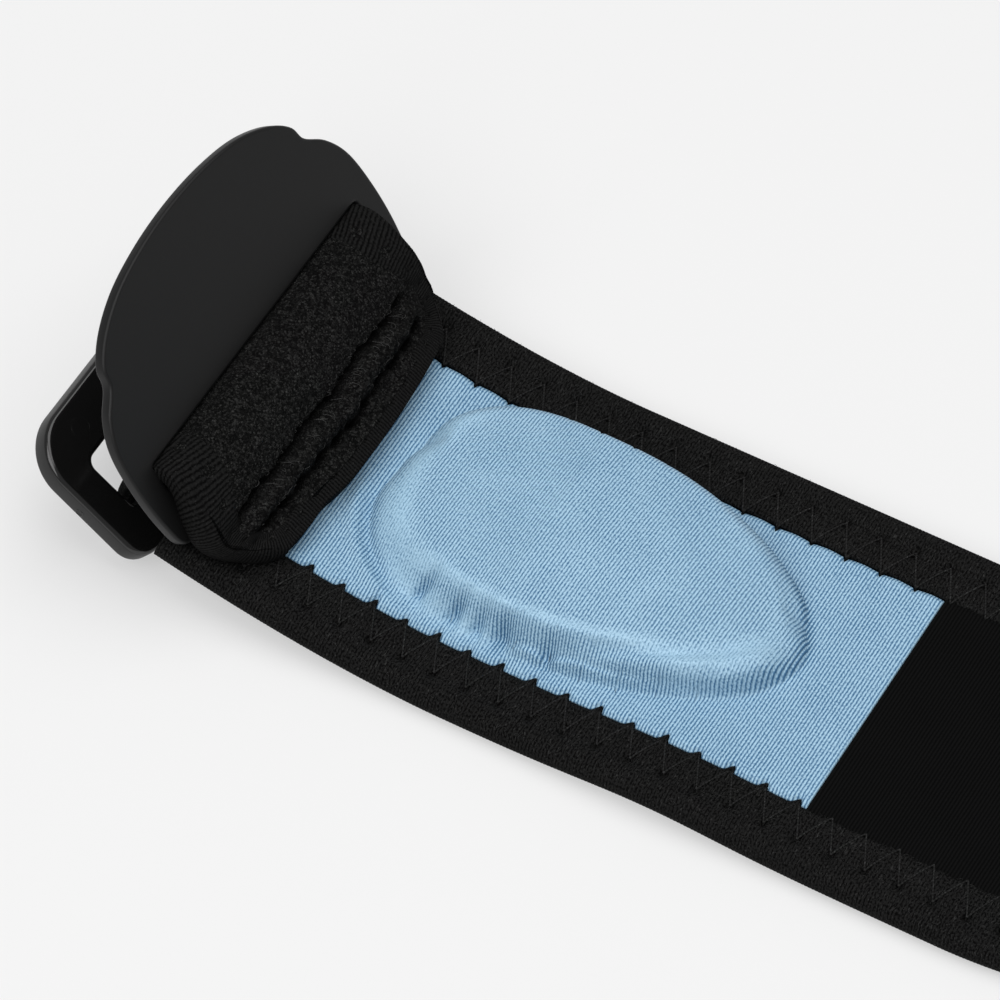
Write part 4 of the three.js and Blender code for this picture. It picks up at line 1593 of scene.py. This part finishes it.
@dataclass
class HookPatch:
    """Hook fastener under the free end."""

    start: float = 198.0
    end: float = 240.0
    half: float = 20.0
    thick: float = 1.2
    corner: float = 5.0

    def build(self, maker: Maker) -> None:
        """Makes the patch and dresses it.

        Args:
            maker: turns arrays into objects.
        """
        along = (self.end - self.start) / 2
        ring = rounded_rectangle(along, -self.half, self.half, self.corner, self.corner, steps=10)
        ring = ring + np.array([(self.start + self.end) / 2, 0.0])
        middle = ring.mean(axis=0)
        lower = [(0.0, 0.0), (0.5, 0.0), (0.9, 0.0), (0.985, 0.05), (1.0, 0.3)]
        upper = [(1.0, self.thick - 0.05), (0.98, self.thick), (0.5, self.thick), (0.0, self.thick)]
        rings = []
        for share, z in lower + upper:
            flat = middle + share * (ring - middle)
            rings.append(np.concatenate([flat, np.full((len(ring), 1), z)], axis=1))
        points = np.array(rings)
        made = maker.skin("hook_tape_patch", points, points[..., :2])
        dress(made, Body.STRAP, Slot.HOOK, HOOK_FINISH.material(), "hook_patch")


@dataclass
class Studio:
    """Camera, pale floor and soft light."""

    azimuth: float = 29.64
    elevation: float = 52.0
    distance: float = 1.12
    lens: float = 252.0
    sensor: float = 36.0
    picture_px: float = 1000.0
    aim_px: tuple[float, float] = (590.0, 589.7)
    floor_half: float = 3.0
    floor_grey: float = 0.4
    floor_glow: float = 0.45
    surround_grey: float = 0.9
    surround_glow: float = 0.36

    def camera(self, datum: Datum) -> None:
        """Sets the camera so that the start of x and y lands where it does in the photo.

        Args:
            datum: where the strap lies in the frame.
        """
        az, el = math.radians(self.azimuth), math.radians(self.elevation)
        back = Vector((math.sin(az) * math.cos(el), -math.cos(az) * math.cos(el), math.sin(el)))
        right = Vector((math.cos(az), math.sin(az), 0.0))
        up = back.cross(right)
        per_px = self.distance * self.sensor / self.lens / self.picture_px
        off_x, off_y = (aim - self.picture_px / 2 for aim in self.aim_px)
        centre = Vector((datum.x, datum.y, 0.0)) - right * off_x * per_px + up * off_y * per_px
        view = bpy.data.cameras.new("camera")
        view.sensor_fit = "HORIZONTAL"
        view.sensor_width = self.sensor
        view.lens = self.lens
        holder = placed("camera", view)
        turned = Matrix((right, up, back)).transposed().to_4x4()
        turned.translation = centre + back * self.distance
        holder.matrix_world = turned
        bpy.context.scene.camera = holder

    def floor(self) -> None:
        """Lays the pale floor."""
        size = self.floor_half
        mesh = bpy.data.meshes.new("floor")
        corners = [(-size, -size, 0), (size, -size, 0), (size, size, 0), (-size, size, 0)]
        mesh.from_pydata(corners, [], [(0, 1, 2, 3)])
        made = placed("floor", mesh)
        material, _, _ = shaded("floor_pale", {
            "Base Color": (*grey(self.floor_grey), 1.0),
            "Roughness": 0.9,
            "Specular IOR Level": 0.05,
            "Emission Color": (*grey(1.0), 1.0),
            "Emission Strength": self.floor_glow,
        })
        mesh.materials.append(material)

    def lights(self) -> None:
        """Sets a dim surround and two soft boxes."""
        world = bpy.data.worlds.new("surround")
        world.use_nodes = True
        surround = world.node_tree.nodes["Background"]
        surround.inputs["Color"].default_value = (*grey(self.surround_grey), 1.0)
        surround.inputs["Strength"].default_value = self.surround_glow
        bpy.context.scene.world = world
        self._box("top_box", place=(0.1, 0.25, 1.5), size=1.6, power=16.5)
        self._box("front_box", place=(-0.3, -1.1, 1.2), size=1.2, power=13.0)
        bpy.context.scene.view_settings.view_transform = "Standard"

    @staticmethod
    def _box(name: str, place: tuple[float, float, float], size: float, power: float) -> None:
        """Hangs a square soft box that faces the object."""
        lamp = bpy.data.lights.new(name, "AREA")
        lamp.shape = "SQUARE"
        lamp.size = size
        lamp.energy = power
        holder = placed(name, lamp)
        holder.location = place
        holder.rotation_euler = (-Vector(place)).to_track_quat("-Z", "Y").to_euler()


def main() -> None:
    """Frames and lights the view, then builds and dresses the support."""
    logging.basicConfig(level=logging.INFO, format="%(message)s")
    strap = StrapForm()
    datum = strap.datum()
    maker = Maker(datum)
    studio = Studio()
    studio.camera(datum)
    studio.floor()
    studio.lights()
    lining = Lining(strap)
    panel = lining.build(maker)
    Pad(lining).build(maker)
    Band(strap, lining).build(maker)
    binding = Binding(strap, lining)
    binding.build(maker)
    binding.threads(maker)
    tab = Tab()
    tab.build(maker)
    tab.binding(maker)
    tab.fibres(maker)
    Plate().build(maker)
    ClosingLoop().build(maker)
    HookPatch().build(maker)


if __name__ == "__main__":
    main()
